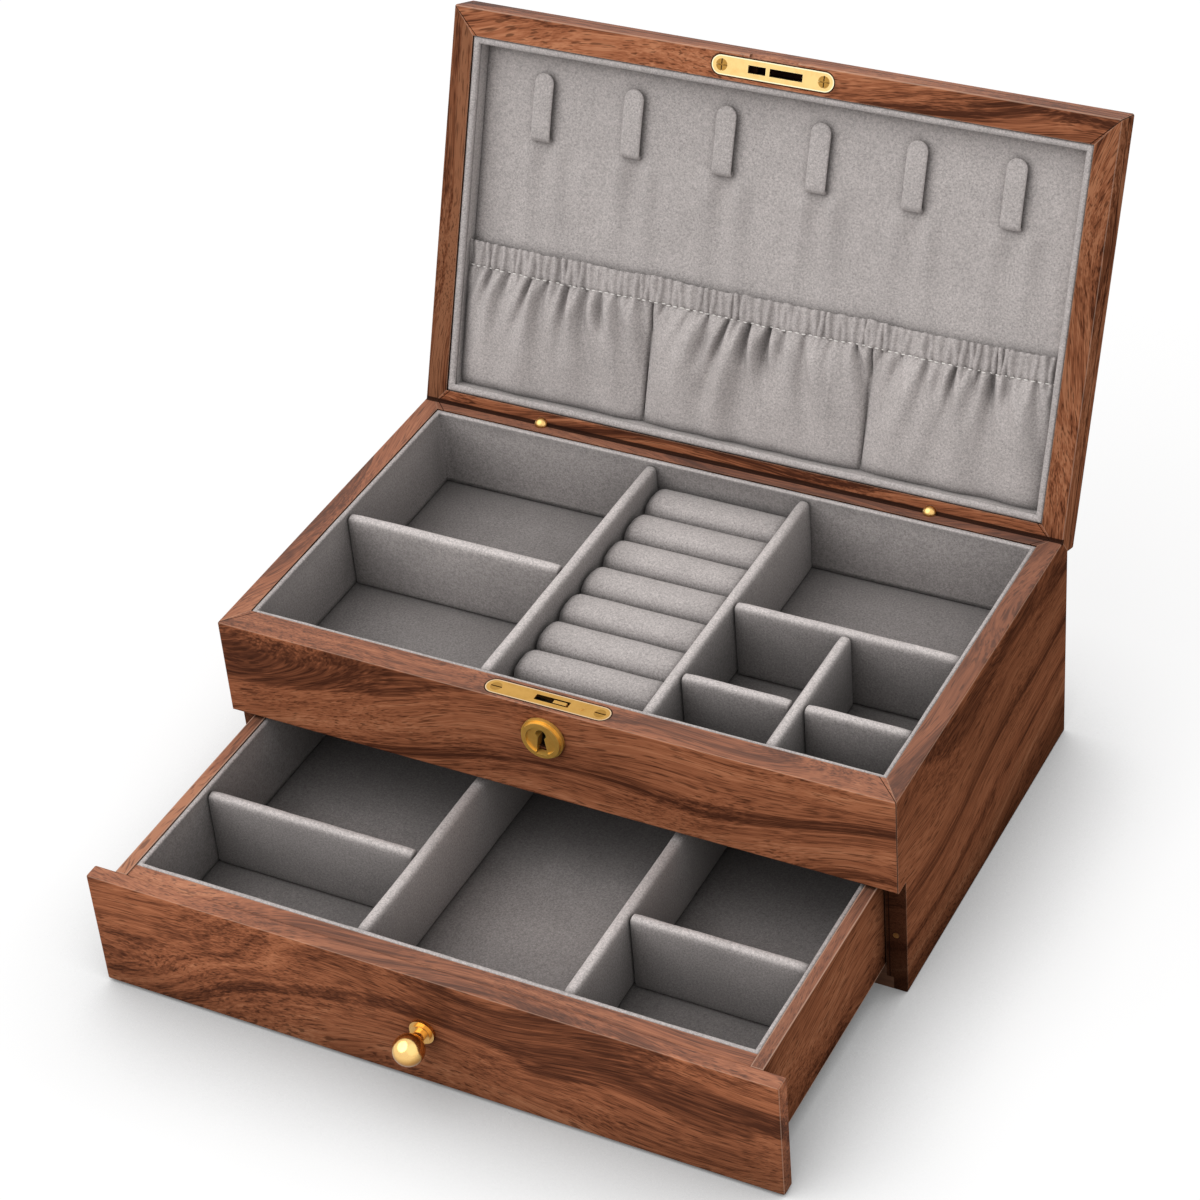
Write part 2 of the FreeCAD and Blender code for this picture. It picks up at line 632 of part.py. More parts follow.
front_eased = eased("front_eased", front_blank, EASE, low_front_edge)
lock_mortise = block("lock_mortise",
                     (f"-({CASE_X} + plate_fit)", f"({CASE_X} + plate_fit)"),
                     (f"({CASE_Y[0]} - plate_fit)", f"({CASE_Y[1]} + plate_fit)"),
                     (f"({CASE_LOW} - plate_fit)", f"({RIM} + {PAST})"))
plate_recess = stadium("plate_recess", LOCK_Y, (PLATE_LOW, f"({RIM} + {PAST})"))
spigot_hole = rod("spigot_hole", ("0", FRONT, ESCUTCHEON_Z), "y", "spigot_radius",
                  "front_wall / 2")
front_sharp = cut("front_sharp", front_eased,
                  [block("front_tray_groove", *TRAY_SPANS), lock_mortise, plate_recess,
                   spigot_hole] + screw_tools("plate_pilot", LOCK_Y, RIM, "-z", "pilot"))
keep("upper_front_panel", common("upper_front_panel", front_sharp, carcass_envelope))

plate_blank = stadium("plate_blank", LOCK_Y, (PLATE_LOW, RIM))
plate_cut = cut("plate_cut", plate_blank,
                [block("plate_slot", SLOT_X, SLOT_Y, (f"({PLATE_LOW} - {PAST})", f"({RIM} + {PAST})"))]
                + screw_tools("plate_sink", LOCK_Y, RIM, "-z", "sink"))
plate_rivet = rod("plate_rivet", ("rivet_x", LOCK_Y, PLATE_LOW), "z", "rivet_radius",
                  "plate_thick + rivet_proud")
keep("lock_plate", fuse("lock_plate", [plate_cut, plate_rivet]))

plate_screws = [screw_at("plate_screw" + side, f"({sign} * plate_screw_x)", LOCK_Y, RIM,
                         "-z", False)
                for side, sign in (("_left", "-1"), ("_right", "1"))]
keep("lock_plate_screws", group("lock_plate_screws", plate_screws))

# The key's way in: a round hole over a slot that widens downwards
KEY_FOOT = f"({KEY_Z} - key_slot_drop)"


def keyhole(name, start_y, end_y):
    """The keyhole as a tool, between two distances from the front."""
    length = f"{end_y} - ({start_y})"
    circle = rod(name + "_round", ("0", start_y, KEY_Z), "y", "key_radius", length)
    slot = prism(name + "_slot", "XZ_Plane",
                 (("-key_slot_top / 2", KEY_Z), ("-key_slot_foot / 2", KEY_FOOT),
                  ("key_slot_foot / 2", KEY_FOOT), ("key_slot_top / 2", KEY_Z)),
                 length, y=end_y)
    return fuse(name, [circle, slot])


case_blank = block("case_blank", (f"-{CASE_X}", CASE_X), CASE_Y, (CASE_LOW, PLATE_LOW))
case_room = block("case_room", (f"(case_wall - {CASE_X})", f"({CASE_X} - case_wall)"),
                  (f"({CASE_Y[0]} + case_wall)", f"({CASE_Y[1]} - case_wall)"),
                  (f"({CASE_LOW} + case_wall)", f"({PLATE_LOW} + {PAST})"))
case_key = keyhole("case_key", f"({CASE_Y[0]} - {PAST})",
                   f"({CASE_Y[0]} + case_wall + {PAST})")
case_shell = cut("case_shell", case_blank, [case_room, case_key])
drill_pin = rod("drill_pin", ("0", f"({CASE_Y[0]} + case_wall)", KEY_Z), "y",
                "drill_pin_radius", "(case_depth - case_wall - drill_pin_short)")
bolt_pin = rod("bolt_pin", ("bolt_pivot_x", f"({CASE_Y[0]} + case_wall / 2)", BOLT_PIVOT_Z), "y",
               "bolt_pin_radius", "case_depth - case_wall")
keep("lock_case", fuse("lock_case", [case_shell, drill_pin, bolt_pin]))

# The hook is drawn about its pivot, X outwards and Z up
BOLT_Y = f"({LOCK_Y} - bolt_thick / 2)"
BOLT_START = ("bolt_pivot_x", BOLT_Y, BOLT_PIVOT_Z)
TIP_RISE = "(bolt_pivot_drop - bolt_tip_drop)"
FAR = "(2 * bolt_outer)"
bolt_rim = cut("bolt_rim", rod("bolt_rim_blank", BOLT_START, "y", "bolt_outer", "bolt_thick"),
               [rod("bolt_rim_hole", BOLT_START, "y", "bolt_inner", "bolt_thick")])
bolt_sector = prism("bolt_sector", "XZ_Plane",
                    (("0", "0"), (FAR, f"(-{FAR} * tan(bolt_tail_angle))"),
                     (FAR, TIP_RISE), ("0", TIP_RISE)),
                    "bolt_thick", x="bolt_pivot_x", y=f"({LOCK_Y} + bolt_thick / 2)",
                    z=BOLT_PIVOT_Z)
bolt_hook = common("bolt_hook", bolt_rim, bolt_sector)
SPOKE_FALL = "tan(bolt_spoke_angle)"
SPOKE_END = "((bolt_inner + bolt_outer) / 2)"
bolt_spoke = prism("bolt_spoke_bar", "XZ_Plane",
                   (("0", "(bolt_spoke / 2)"),
                    ("0", "(-bolt_spoke / 2)"),
                    (SPOKE_END, f"(-bolt_spoke / 2 - {SPOKE_END} * {SPOKE_FALL})"),
                    (SPOKE_END, f"(bolt_spoke / 2 - {SPOKE_END} * {SPOKE_FALL})")),
                   "bolt_thick", x="bolt_pivot_x", y=f"({LOCK_Y} + bolt_thick / 2)",
                   z=BOLT_PIVOT_Z)
bolt_hub = rod("bolt_hub", BOLT_START, "y", "bolt_hub_radius", "bolt_thick")
bolt_blank = fuse("bolt_blank", [bolt_hook, bolt_spoke, bolt_hub])
bolt_bore = rod("bolt_bore", BOLT_START, "y", "(bolt_pin_radius + running_fit)", "bolt_thick")
keep("hook_bolt", cut("hook_bolt", bolt_blank, [bolt_bore]))

UPPER_RADIUS = "(escutcheon_radius - escutcheon_inset)"
FACE_RADIUS = f"({UPPER_RADIUS} - escutcheon_bead)"
FACE_HEIGHT = "(escutcheon_thick - escutcheon_step)"
escutcheon_blank = turned("escutcheon_blank",
                          (("0", "-spigot_length"), ("spigot_radius", "-spigot_length"),
                           ("spigot_radius", "0"), ("escutcheon_radius", "0"),
                           ("escutcheon_radius", "escutcheon_foot"),
                           (UPPER_RADIUS, "escutcheon_foot"),
                           (UPPER_RADIUS, "escutcheon_thick"),
                           (FACE_RADIUS, "escutcheon_thick"),
                           (FACE_RADIUS, FACE_HEIGHT), ("0", FACE_HEIGHT)),
                          y=FRONT, z=ESCUTCHEON_Z, turn=TURN_TO["-y"])
keep("escutcheon", cut("escutcheon", escutcheon_blank,
                       [keyhole("escutcheon_key", f"({FRONT} - escutcheon_thick - {PAST})",
                                f"({FRONT} + spigot_length + {PAST})")]))

# --------------------------------------------------------------------------
# Strips and pegs that guide the drawer
# --------------------------------------------------------------------------

def drawer_strips(node, y_span, z_span):
    """Two strips on the side panels, one over or under each drawer side."""
    strips = [block(node + side, x_span, y_span, z_span)
              for side, x_span in (("_left", (f"-{INNER_X}", f"(kicker_width - {INNER_X})")),
                                   ("_right", (f"({INNER_X} - kicker_width)", INNER_X)))]
    keep(node, group(node, strips))


drawer_strips("drawer_runners", (SETBACK, BACK_INNER), ("bottom_thick", RUNNER_TOP))
drawer_strips("drawer_kickers", (f"({DRAWER_FRONT_BACK} + drawer_top_gap)", BACK_INNER),
              (f"({DRAWER_SIDE_TOP} + kicker_gap)", TRAY_BOARD_LOW))

STOP_BACK = f"({DRAWER_BACK_INNER} - drawer_travel - stop_gap)"
keep("drawer_stop_strip",
     block("drawer_stop_strip", ("-stop_length / 2", "stop_length / 2"),
           (f"({STOP_BACK} - stop_width)", STOP_BACK),
           ("bottom_thick", "(bottom_thick + stop_height)")))

bumpers = [rod("bumper" + side,
               (f"({sign} * ({HALF_WIDTH} - side_wall / 2))", f"({SETBACK} - bumper_proud)",
                DRAWER_MIDDLE_Z), "y", "bumper_radius", "bumper_length")
           for side, sign in (("_left", "-1"), ("_right", "1"))]
keep("drawer_bumpers", group("drawer_bumpers", bumpers))

# --------------------------------------------------------------------------
# Tray lining, dividers and ring insert
# --------------------------------------------------------------------------

TRAY_Z = (TRAY_FLOOR, DIVIDER_TOP)
TRAY_IN_X = f"({INNER_X} - lining_thick - soft_gap)"
TRAY_FRONT_Y = f"({FRONT_INNER} + lining_thick + soft_gap)"
TRAY_BACK_Y = f"({BACK_INNER} - lining_thick - soft_gap)"

keep("tray_floor_lining",
     block("tray_floor_lining", (f"-{INNER_X}", INNER_X), (FRONT_INNER, BACK_INNER),
           (TRAY_BOARD_TOP, TRAY_FLOOR)))
keep("tray_wall_lining",
     wall_cards("tray_wall_lining", INNER_X, (FRONT_INNER, BACK_INNER), (TRAY_FLOOR, LINING_TOP)))


def thickness_at(middle):
    """The span of a divider's thickness about its middle."""
    return (f"({middle} - {HALF_DIVIDER})", f"({middle} + {HALF_DIVIDER})")


def after(middle):
    """Just clear of a divider, on the side of larger coordinates."""
    return f"({middle} + {HALF_DIVIDER} + soft_gap)"


def before(middle):
    """Just clear of a divider, on the side of smaller coordinates."""
    return f"({middle} - {HALF_DIVIDER} - soft_gap)"


TRAY_DIVIDERS = (
    ("left_column_divider", "y", thickness_at("tray_left_x"), (TRAY_FRONT_Y, TRAY_BACK_Y)),
    ("right_column_divider", "y", thickness_at("tray_right_x"), (TRAY_FRONT_Y, TRAY_BACK_Y)),
    ("left_cross_divider", "x", (f"-{TRAY_IN_X}", before("tray_left_x")),
     thickness_at("tray_left_cross_y")),
    ("right_cross_divider", "x", (after("tray_right_x"), TRAY_IN_X),
     thickness_at("tray_right_cross_y")),
    ("grid_long_divider", "y", thickness_at("grid_x"),
     (TRAY_FRONT_Y, before("tray_right_cross_y"))),
    ("grid_cross_divider_left", "x", (after("tray_right_x"), before("grid_x")),
     thickness_at("grid_y")),
    ("grid_cross_divider_right", "x", (after("grid_x"), TRAY_IN_X), thickness_at("grid_y")),
)
for node, along, x_span, y_span in TRAY_DIVIDERS:
    keep(node, upright_divider(node, x_span, y_span, TRAY_Z, along))

RING_X = (after("tray_left_x"), before("tray_right_x"))
BLOCK_BACK_Y = f"({TRAY_FRONT_Y} + ring_block_length)"
ROLL_PITCH = f"(({TRAY_BACK_Y} - {BLOCK_BACK_Y}) / roll_count)"
ROLL_RADIUS = f"(({ROLL_PITCH} - soft_gap) / 2)"
FIRST_ROLL_Y = f"({TRAY_BACK_Y} - {ROLL_RADIUS})"
ROLL_Z = f"({TRAY_FLOOR} + ring_base_height + soft_gap + {ROLL_RADIUS})"
ring_foam = block("ring_foam", RING_X, (TRAY_FRONT_Y, TRAY_BACK_Y),
                  (TRAY_FLOOR, f"({TRAY_FLOOR} + ring_base_height)"))
ring_block = block("ring_block", RING_X, (TRAY_FRONT_Y, BLOCK_BACK_Y),
                   (TRAY_FLOOR, f"({TRAY_FLOOR} + ring_block_height)"))
keep("ring_insert_base", fuse("ring_insert_base", [ring_foam, ring_block]))


def round_edge(edge):
    """Whether an edge is a circle."""
    return isinstance(edge.Curve, Part.Circle)


ROLL_END_ROUND = number(f"{ROLL_RADIUS} - roll_end_flat")

for index in range(int(size("roll_count"))):
    node = f"ring_roll_{index + 1}"
    middle_y = f"({FIRST_ROLL_Y} - {index} * {ROLL_PITCH})"
    blank = rod(node + "_blank", (RING_X[0], middle_y, ROLL_Z), "x", ROLL_RADIUS,
                f"{RING_X[1]} - ({RING_X[0]})")
    keep(node, eased(node, blank, ROLL_END_ROUND, round_edge))

# --------------------------------------------------------------------------
# Lid, drawn closed about the hinge axis
# --------------------------------------------------------------------------

lid_envelope = eased("lid_envelope",
                     block("lid_block", FULL_X, (LID_FRONT, LID_BACK), (LID_RIM, LID_TOP)), EASE)
LID_PANEL_SPANS = ((f"-({LID_INNER_X} + lid_rebate)", f"({LID_INNER_X} + lid_rebate)"),
                   (f"({LID_FRONT_INNER} - lid_rebate)", f"({LID_BACK_INNER} + lid_rebate)"),
                   (LID_PANEL_LOW, LID_TOP))
lid_bevel = prism("lid_bevel", "YZ_Plane",
                  (("0", "0"), (OVER, "0"), (OVER, f"({OVER} * {BEVEL_SLOPE})")),
                  f"box_width + 2 * {PAST}", x=f"-{HALF_WIDTH} - {PAST}")


def lid_rail(node, corners, more=()):
    """One mitred rail of the lid."""
    blank = prism(node + "_blank", "XY_Plane", corners, "lid_height", z=LID_RIM)
    rebate = block(node + "_rebate", *LID_PANEL_SPANS)
    sharp = cut(node + "_sharp", blank, [rebate, lid_bevel] + list(more))
    keep(node, common(node, sharp, lid_envelope), IN_LID)


lid_rail("lid_left_rail",
         ((f"-{HALF_WIDTH}", LID_FRONT), (f"-{LID_INNER_X}", LID_FRONT_INNER),
          (f"-{LID_INNER_X}", LID_BACK_INNER), (f"-{HALF_WIDTH}", LID_BACK)))
lid_rail("lid_right_rail",
         ((HALF_WIDTH, LID_FRONT), (LID_INNER_X, LID_FRONT_INNER),
          (LID_INNER_X, LID_BACK_INNER), (HALF_WIDTH, LID_BACK)))
lid_rail("lid_back_rail",
         ((f"-{HALF_WIDTH}", LID_BACK), (f"-{LID_INNER_X}", LID_BACK_INNER),
          (LID_INNER_X, LID_BACK_INNER), (HALF_WIDTH, LID_BACK)),
         hinge_bores("lid_bore", "hinge_x", "0", "0", "z"))

STRIKE_TOP = f"({LID_RIM} + plate_thick)"
strike_recess = stadium("strike_recess", LID_LOCK_Y, ("(-lid_gap)", STRIKE_TOP))
bolt_room = block("bolt_room", ("bolt_room_left", "bolt_room_right"),
                  (f"({LID_LOCK_Y} - slot_width / 2 - bolt_room_side)",
                   f"({LID_LOCK_Y} + slot_width / 2 + bolt_room_side)"),
                  ("(-lid_gap)", f"({LID_RIM} + bolt_room_height)"))
small_room = block("small_room", ("strike_small_left", "strike_small_right"),
                   (f"({LID_LOCK_Y} - slot_width / 2)", f"({LID_LOCK_Y} + slot_width / 2)"),
                   ("(-lid_gap)", f"({LID_RIM} + small_room_height)"))
finger_scoop = prism("finger_scoop", "YZ_Plane",
                     ((f"({LID_FRONT} - {PAST})", "(-lid_gap)"),
                      (f"({LID_FRONT} + finger_depth)", "(-lid_gap)"),
                      (f"({LID_FRONT} + finger_depth)", f"({LID_RIM} + finger_upright)"),
                      (LID_FRONT, f"({LID_RIM} + finger_height)"),
                      (f"({LID_FRONT} - {PAST})", f"({LID_RIM} + finger_height)")),
                     "finger_width", x="-finger_width / 2")
lid_rail("lid_front_rail",
         ((f"-{HALF_WIDTH}", LID_FRONT), (HALF_WIDTH, LID_FRONT),
          (LID_INNER_X, LID_FRONT_INNER), (f"-{LID_INNER_X}", LID_FRONT_INNER)),
         [strike_recess, bolt_room, small_room, finger_scoop]
         + screw_tools("strike_pilot", LID_LOCK_Y, LID_RIM, "z", "pilot"))

keep("lid_panel", block("lid_panel", *LID_PANEL_SPANS), IN_LID)
keep("lid_back_pad",
     block("lid_back_pad", (f"-{LID_INNER_X}", LID_INNER_X), (LID_FRONT_INNER, LID_BACK_INNER),
           (LID_PAD_FACE, LID_PANEL_LOW)), IN_LID)
keep("lid_wall_lining",
     wall_cards("lid_wall_lining", LID_INNER_X, (LID_FRONT_INNER, LID_BACK_INNER),
                (f"({LID_RIM} + lining_drop)", LID_PAD_FACE)), IN_LID)

strike_blank = stadium("strike_blank", LID_LOCK_Y, (LID_RIM, STRIKE_TOP))
STRIKE_THROUGH = ((f"({LID_LOCK_Y} - slot_width / 2)", f"({LID_LOCK_Y} + slot_width / 2)"),
                  ("(-lid_gap)", f"({STRIKE_TOP} + {PAST})"))
keep("strike_plate",
     cut("strike_plate", strike_blank,
         [block("strike_small", ("strike_small_left", "strike_small_right"), *STRIKE_THROUGH),
          block("strike_large", ("strike_large_left", "strike_large_right"), *STRIKE_THROUGH)]
         + screw_tools("strike_sink", LID_LOCK_Y, LID_RIM, "z", "sink")), IN_LID)
strike_screws = [screw_at("strike_screw" + side, f"({sign} * plate_screw_x)", LID_LOCK_Y,
                          LID_RIM, "z", True)
                 for side, sign in (("_left", "-1"), ("_right", "1"))]
keep("strike_screws", group("strike_screws", strike_screws), IN_LID)

# Each necklace tab is a flap folded up from its lower end
TAB_FRONT = f"({LID_FRONT} + tab_setback)"
TAB_END = f"({TAB_FRONT} + tab_length)"
TAB_ROUND_Y = f"({TAB_FRONT} + tab_width / 2)"
FLAP_TOP = f"({LID_PAD_FACE} - tab_standoff)"
FLAP_LOW = f"({FLAP_TOP} - tab_thick)"
tabs = []
for index in range(int(size("tab_count"))):
    name = f"tab_{index + 1}"
    middle = f"(({index} - (tab_count - 1) / 2) * tab_pitch)"
    across = (f"({middle} - tab_width / 2)", f"({middle} + tab_width / 2)")
    flap = block(name + "_flap", across, (TAB_ROUND_Y, TAB_END), (FLAP_LOW, FLAP_TOP))
    tip = rod(name + "_tip", (middle, TAB_ROUND_Y, FLAP_LOW), "z", "tab_width / 2", "tab_thick")
    foot = block(name + "_foot", across, (f"({TAB_END} - tab_foot)", TAB_END),
                 (FLAP_LOW, LID_PAD_FACE))
    tabs.append(fuse(name, [flap, tip, foot]))
keep("necklace_tabs", group("necklace_tabs", tabs), IN_LID)

# The pocket is a gathered cloth held along its bottom, its ends and two seams
POCKET_X = f"({LID_INNER_X} - lining_thick - soft_gap)"
POCKET_LOW_Y = f"({LID_BACK_INNER} - lining_thick - soft_gap)"
POCKET_MOUTH_Y = f"({POCKET_LOW_Y} - pocket_height)"
POCKET_ROOM_Z = (f"({LID_PAD_FACE} - pocket_room)", LID_PAD_FACE)
pocket_cloth = block("pocket_cloth_front", (f"-{POCKET_X}", POCKET_X),
                     (POCKET_MOUTH_Y, POCKET_LOW_Y),
                     (f"({LID_PAD_FACE} - pocket_room - pocket_cloth)", POCKET_ROOM_Z[0]))
pocket_hem = block("pocket_hem", (f"-{POCKET_X}", POCKET_X),
                   (f"({POCKET_LOW_Y} - pocket_seam)", POCKET_LOW_Y), POCKET_ROOM_Z)
SEAMS = (("left_end", (f"-{POCKET_X}", f"(pocket_seam - {POCKET_X})")),
         ("left", ("(pocket_left_seam_x - pocket_seam / 2)",
                   "(pocket_left_seam_x + pocket_seam / 2)")),
         ("right", ("(pocket_right_seam_x - pocket_seam / 2)",
                    "(pocket_right_seam_x + pocket_seam / 2)")),
         ("right_end", (f"({POCKET_X} - pocket_seam)", POCKET_X)))
pocket_seams = [block("pocket_seam_" + where, span, (POCKET_MOUTH_Y, POCKET_LOW_Y), POCKET_ROOM_Z)
                for where, span in SEAMS]
keep("elastic_pocket", fuse("elastic_pocket", [pocket_cloth, pocket_hem] + pocket_seams), IN_LID)

# --------------------------------------------------------------------------
# Hinges: a barrel sunk in each part, joined by knuckles on a pin
# --------------------------------------------------------------------------

EAR_START = "(tongue_thick / 2 + knuckle_gap)"
NECK_Y = ("(-knuckle_radius)", "knuckle_radius")


def hinge_half(name, middle, knuckles, into, hole, bevel):
    """A barrel with its knuckles, drawn about the hinge axis."""
    sign = "-1" if into == "-z" else "1"
    barrel = rod(name + "_barrel", (middle, "0", f"({sign} * barrel_start)"), into,
                 "barrel_radius", "(barrel_length - barrel_start)")
    solids = [barrel]
    for index, (low, high) in enumerate(knuckles):
        span = (f"({middle} + {low})", f"({middle} + {high})")
        reach = ("(-barrel_start)", "0") if into == "-z" else ("0", "barrel_start")
        solids.append(block(f"{name}_neck_{index}", span, NECK_Y, reach))
    shaped = cut(name + "_shaped", fuse(name + "_stem", solids), [bevel])
    discs = [rod(f"{name}_knuckle_{index}", (f"({middle} + {low})", "0", "0"), "x",
                 "knuckle_radius", f"({high} - {low})")
             for index, (low, high) in enumerate(knuckles)]
    bore = rod(name + "_bore", (f"({middle} - 2 * barrel_radius)", "0", "0"), "x", hole,
               "4 * barrel_radius")
    return cut(name, fuse(name + "_blank", [shaped] + discs), [bore])


low_bevel = prism("low_bevel", "YZ_Plane",
                  (("0", "0"), (OVER, f"(-{OVER} * {BEVEL_SLOPE})"), (OVER, "0")),
                  f"box_width + 2 * {PAST}", x=f"-{HALF_WIDTH} - {PAST}")
EARS = ((f"(-({EAR_START} + ear_thick))", f"(-{EAR_START})"),
        (EAR_START, f"({EAR_START} + ear_thick)"))
TONGUE = (("(-tongue_thick / 2)", "(tongue_thick / 2)"),)
AT_PIVOT = f"placement(vector(0; {PIVOT_Y}; {PIVOT_Z}); {NO_TURN})"
PIN_HALF = f"({EAR_START} + ear_thick)"
ear_halves = []
tongue_halves = []
pins = []
for side, sign in (("_left", "-1"), ("_right", "1")):
    middle = f"({sign} * hinge_x)"
    ear_halves.append(hinge_half("ear_half" + side, middle, EARS, "-z", "hinge_pin_radius",
                                 low_bevel))
    tongue_halves.append(hinge_half("tongue_half" + side, middle, TONGUE, "z",
                                    "(hinge_pin_radius + running_fit)", lid_bevel))
    pins.append(rod("hinge_pin" + side, (f"({middle} - {PIN_HALF})", "0", "0"), "x",
                    "hinge_pin_radius", f"2 * {PIN_HALF}"))
keep("hinge_carcass_barrels", group("hinge_carcass_barrels", ear_halves), AT_PIVOT)
keep("hinge_pins", group("hinge_pins", pins), AT_PIVOT)
keep("hinge_lid_barrels", group("hinge_lid_barrels", tongue_halves), IN_LID)

# --------------------------------------------------------------------------
# Drawer, drawn closed
# --------------------------------------------------------------------------

DRAWER_BOARD_SPANS = ((f"-({DRAWER_INNER} + drawer_groove)", f"({DRAWER_INNER} + drawer_groove)"),
                      (f"({DRAWER_FRONT_BACK} - drawer_groove)",
                       f"({DRAWER_BACK_INNER} + drawer_groove)"),
                      (DRAWER_BOARD_LOW, DRAWER_BOARD_TOP))
drawer_lip = eased("drawer_lip_eased",
                   block("drawer_lip_block", FULL_X, (FRONT, DRAWER_LIP_BACK),
                         ("drawer_floor_gap", DRAWER_FRONT_TOP)), EASE)
drawer_core = block("drawer_core", (f"-{DRAWER_INNER}", DRAWER_INNER),
                    (f"({DRAWER_LIP_BACK} - drawer_lip / 2)", DRAWER_FRONT_BACK),
                    (DRAWER_LOW, f"({DRAWER_FRONT_TOP} - edge_round)"))
knob_clearance = rod("knob_clearance", ("0", FRONT, DRAWER_MIDDLE_Z), "y", "knob_screw_radius",
                     "drawer_front_thick")
knob_sink = rod("knob_sink", ("0", DRAWER_FRONT_BACK, DRAWER_MIDDLE_Z), "-y",
                "knob_screw_head", "knob_screw_head_height")
keep("drawer_front",
     cut("drawer_front", fuse("drawer_front_blank", [drawer_lip, drawer_core]),
         [block("front_board_groove", *DRAWER_BOARD_SPANS), knob_clearance, knob_sink]),
     IN_DRAWER)


def drawer_side(node, side, sign):
    """A side of the drawer, grooved for its bottom."""
    edges = [f"({sign} * {DRAWER_HALF})", f"({sign} * {DRAWER_INNER})"]
    if sign == "1":
        edges.reverse()
    blank = block(node + "_blank", edges, (DRAWER_LIP_BACK, DRAWER_END),
                  (DRAWER_LOW, DRAWER_SIDE_TOP))
    groove = block(node + "_groove", *DRAWER_BOARD_SPANS)
    keep(node, cut(node, blank, [groove]), IN_DRAWER)


mirrored_x("drawer_{}_side", drawer_side)

drawer_back_blank = block("drawer_back_blank", (f"-{DRAWER_INNER}", DRAWER_INNER),
                          (DRAWER_BACK_INNER, DRAWER_END), (DRAWER_LOW, DRAWER_SIDE_TOP))
keep("drawer_back", cut("drawer_back", drawer_back_blank,
                        [block("back_board_groove", *DRAWER_BOARD_SPANS)]), IN_DRAWER)
keep("drawer_bottom_panel", block("drawer_bottom_panel", *DRAWER_BOARD_SPANS), IN_DRAWER)

DRAWER_WALL_TOP = f"({DRAWER_SIDE_TOP} - lining_drop)"
keep("drawer_floor_lining",
     block("drawer_floor_lining", (f"-{DRAWER_INNER}", DRAWER_INNER),
           (DRAWER_FRONT_BACK, DRAWER_BACK_INNER), (DRAWER_BOARD_TOP, DRAWER_FLOOR)), IN_DRAWER)
keep("drawer_wall_lining",
     wall_cards("drawer_wall_lining", DRAWER_INNER, (DRAWER_FRONT_BACK, DRAWER_BACK_INNER),
                (DRAWER_FLOOR, DRAWER_WALL_TOP)), IN_DRAWER)

DRAWER_Z = (DRAWER_FLOOR, f"({DRAWER_SIDE_TOP} - divider_drop)")
DRAWER_IN_X = f"({DRAWER_INNER} - lining_thick - soft_gap)"
DRAWER_IN_Y = (f"({DRAWER_FRONT_BACK} + lining_thick + soft_gap)",
               f"({DRAWER_BACK_INNER} - lining_thick - soft_gap)")
DRAWER_CROSS_Y = thickness_at(f"({FRONT} + drawer_cross_back)")
DRAWER_DIVIDERS = (
    ("drawer_left_divider", "y", thickness_at("drawer_left_x"), DRAWER_IN_Y),
    ("drawer_right_divider", "y", thickness_at("drawer_right_x"), DRAWER_IN_Y),
    ("drawer_left_cross_divider", "x", (f"-{DRAWER_IN_X}", before("drawer_left_x")),
     DRAWER_CROSS_Y),
    ("drawer_right_cross_divider", "x", (after("drawer_right_x"), DRAWER_IN_X),
     DRAWER_CROSS_Y),
)
for node, along, x_span, y_span in DRAWER_DIVIDERS:
    keep(node, upright_divider(node, x_span, y_span, DRAWER_Z, along), IN_DRAWER)

STEP_HEIGHT = "(knob_foot_thick + knob_step_thick)"
keep("knob_rosette",
     turned("knob_rosette",
            (("knob_screw_radius", "0"), ("knob_foot_radius", "0"),
             ("knob_foot_radius", "knob_foot_thick"), ("knob_step_radius", "knob_foot_thick"),
             ("knob_step_radius", STEP_HEIGHT), ("knob_screw_radius", STEP_HEIGHT)),
            y=FRONT, z=DRAWER_MIDDLE_Z, turn=TURN_TO["-y"]), IN_DRAWER)
NECK_START = ("0", f"({FRONT} - {STEP_HEIGHT})", DRAWER_MIDDLE_Z)
knob_neck = rod("knob_neck", NECK_START, "-y", "knob_neck_radius",
                f"(knob_reach - {STEP_HEIGHT})")
knob_ball = ball("knob_ball", ("0", f"({FRONT} - knob_reach)", DRAWER_MIDDLE_Z),
                 "knob_ball_radius")
knob_bore = rod("knob_bore", NECK_START, "-y", "knob_screw_radius", "knob_screw_grip")
keep("drawer_knob", cut("drawer_knob", fuse("knob_blank", [knob_neck, knob_ball]), [knob_bore]),
     IN_DRAWER)
screw_shank = rod("knob_screw_shank", ("0", DRAWER_FRONT_BACK, DRAWER_MIDDLE_Z), "-y",
                  "knob_screw_radius", f"(drawer_front_thick + {STEP_HEIGHT} + knob_screw_grip)")
screw_head = rod("knob_screw_cap", ("0", DRAWER_FRONT_BACK, DRAWER_MIDDLE_Z), "-y",
                 "knob_screw_head", "knob_screw_head_height")
keep("knob_screw", fuse("knob_screw", [screw_shank, screw_head]), IN_DRAWER)

# --------------------------------------------------------------------------
# Check and write
# --------------------------------------------------------------------------

doc.removeObject(desk.Name)
doc.recompute()
for thing in doc.Objects:
    if "Invalid" in thing.State or "Error" in thing.State:
        raise RuntimeError(f"{thing.Label} did not rebuild: {thing.State}")
for node, thing in pieces.items():
    shape = thing.Shape
    if shape.isNull() or not shape.isValid() or not shape.Solids:
        raise RuntimeError(f"{node} is not a valid solid")

os.makedirs("parts", exist_ok=True)
for node, thing in pieces.items():
    thing.Shape.exportStep(f"parts/{node}.step")
print(len(pieces), "nodes written")
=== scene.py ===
import json
import math

import bmesh
import bpy
import numpy as np
from mathutils import Matrix, Vector


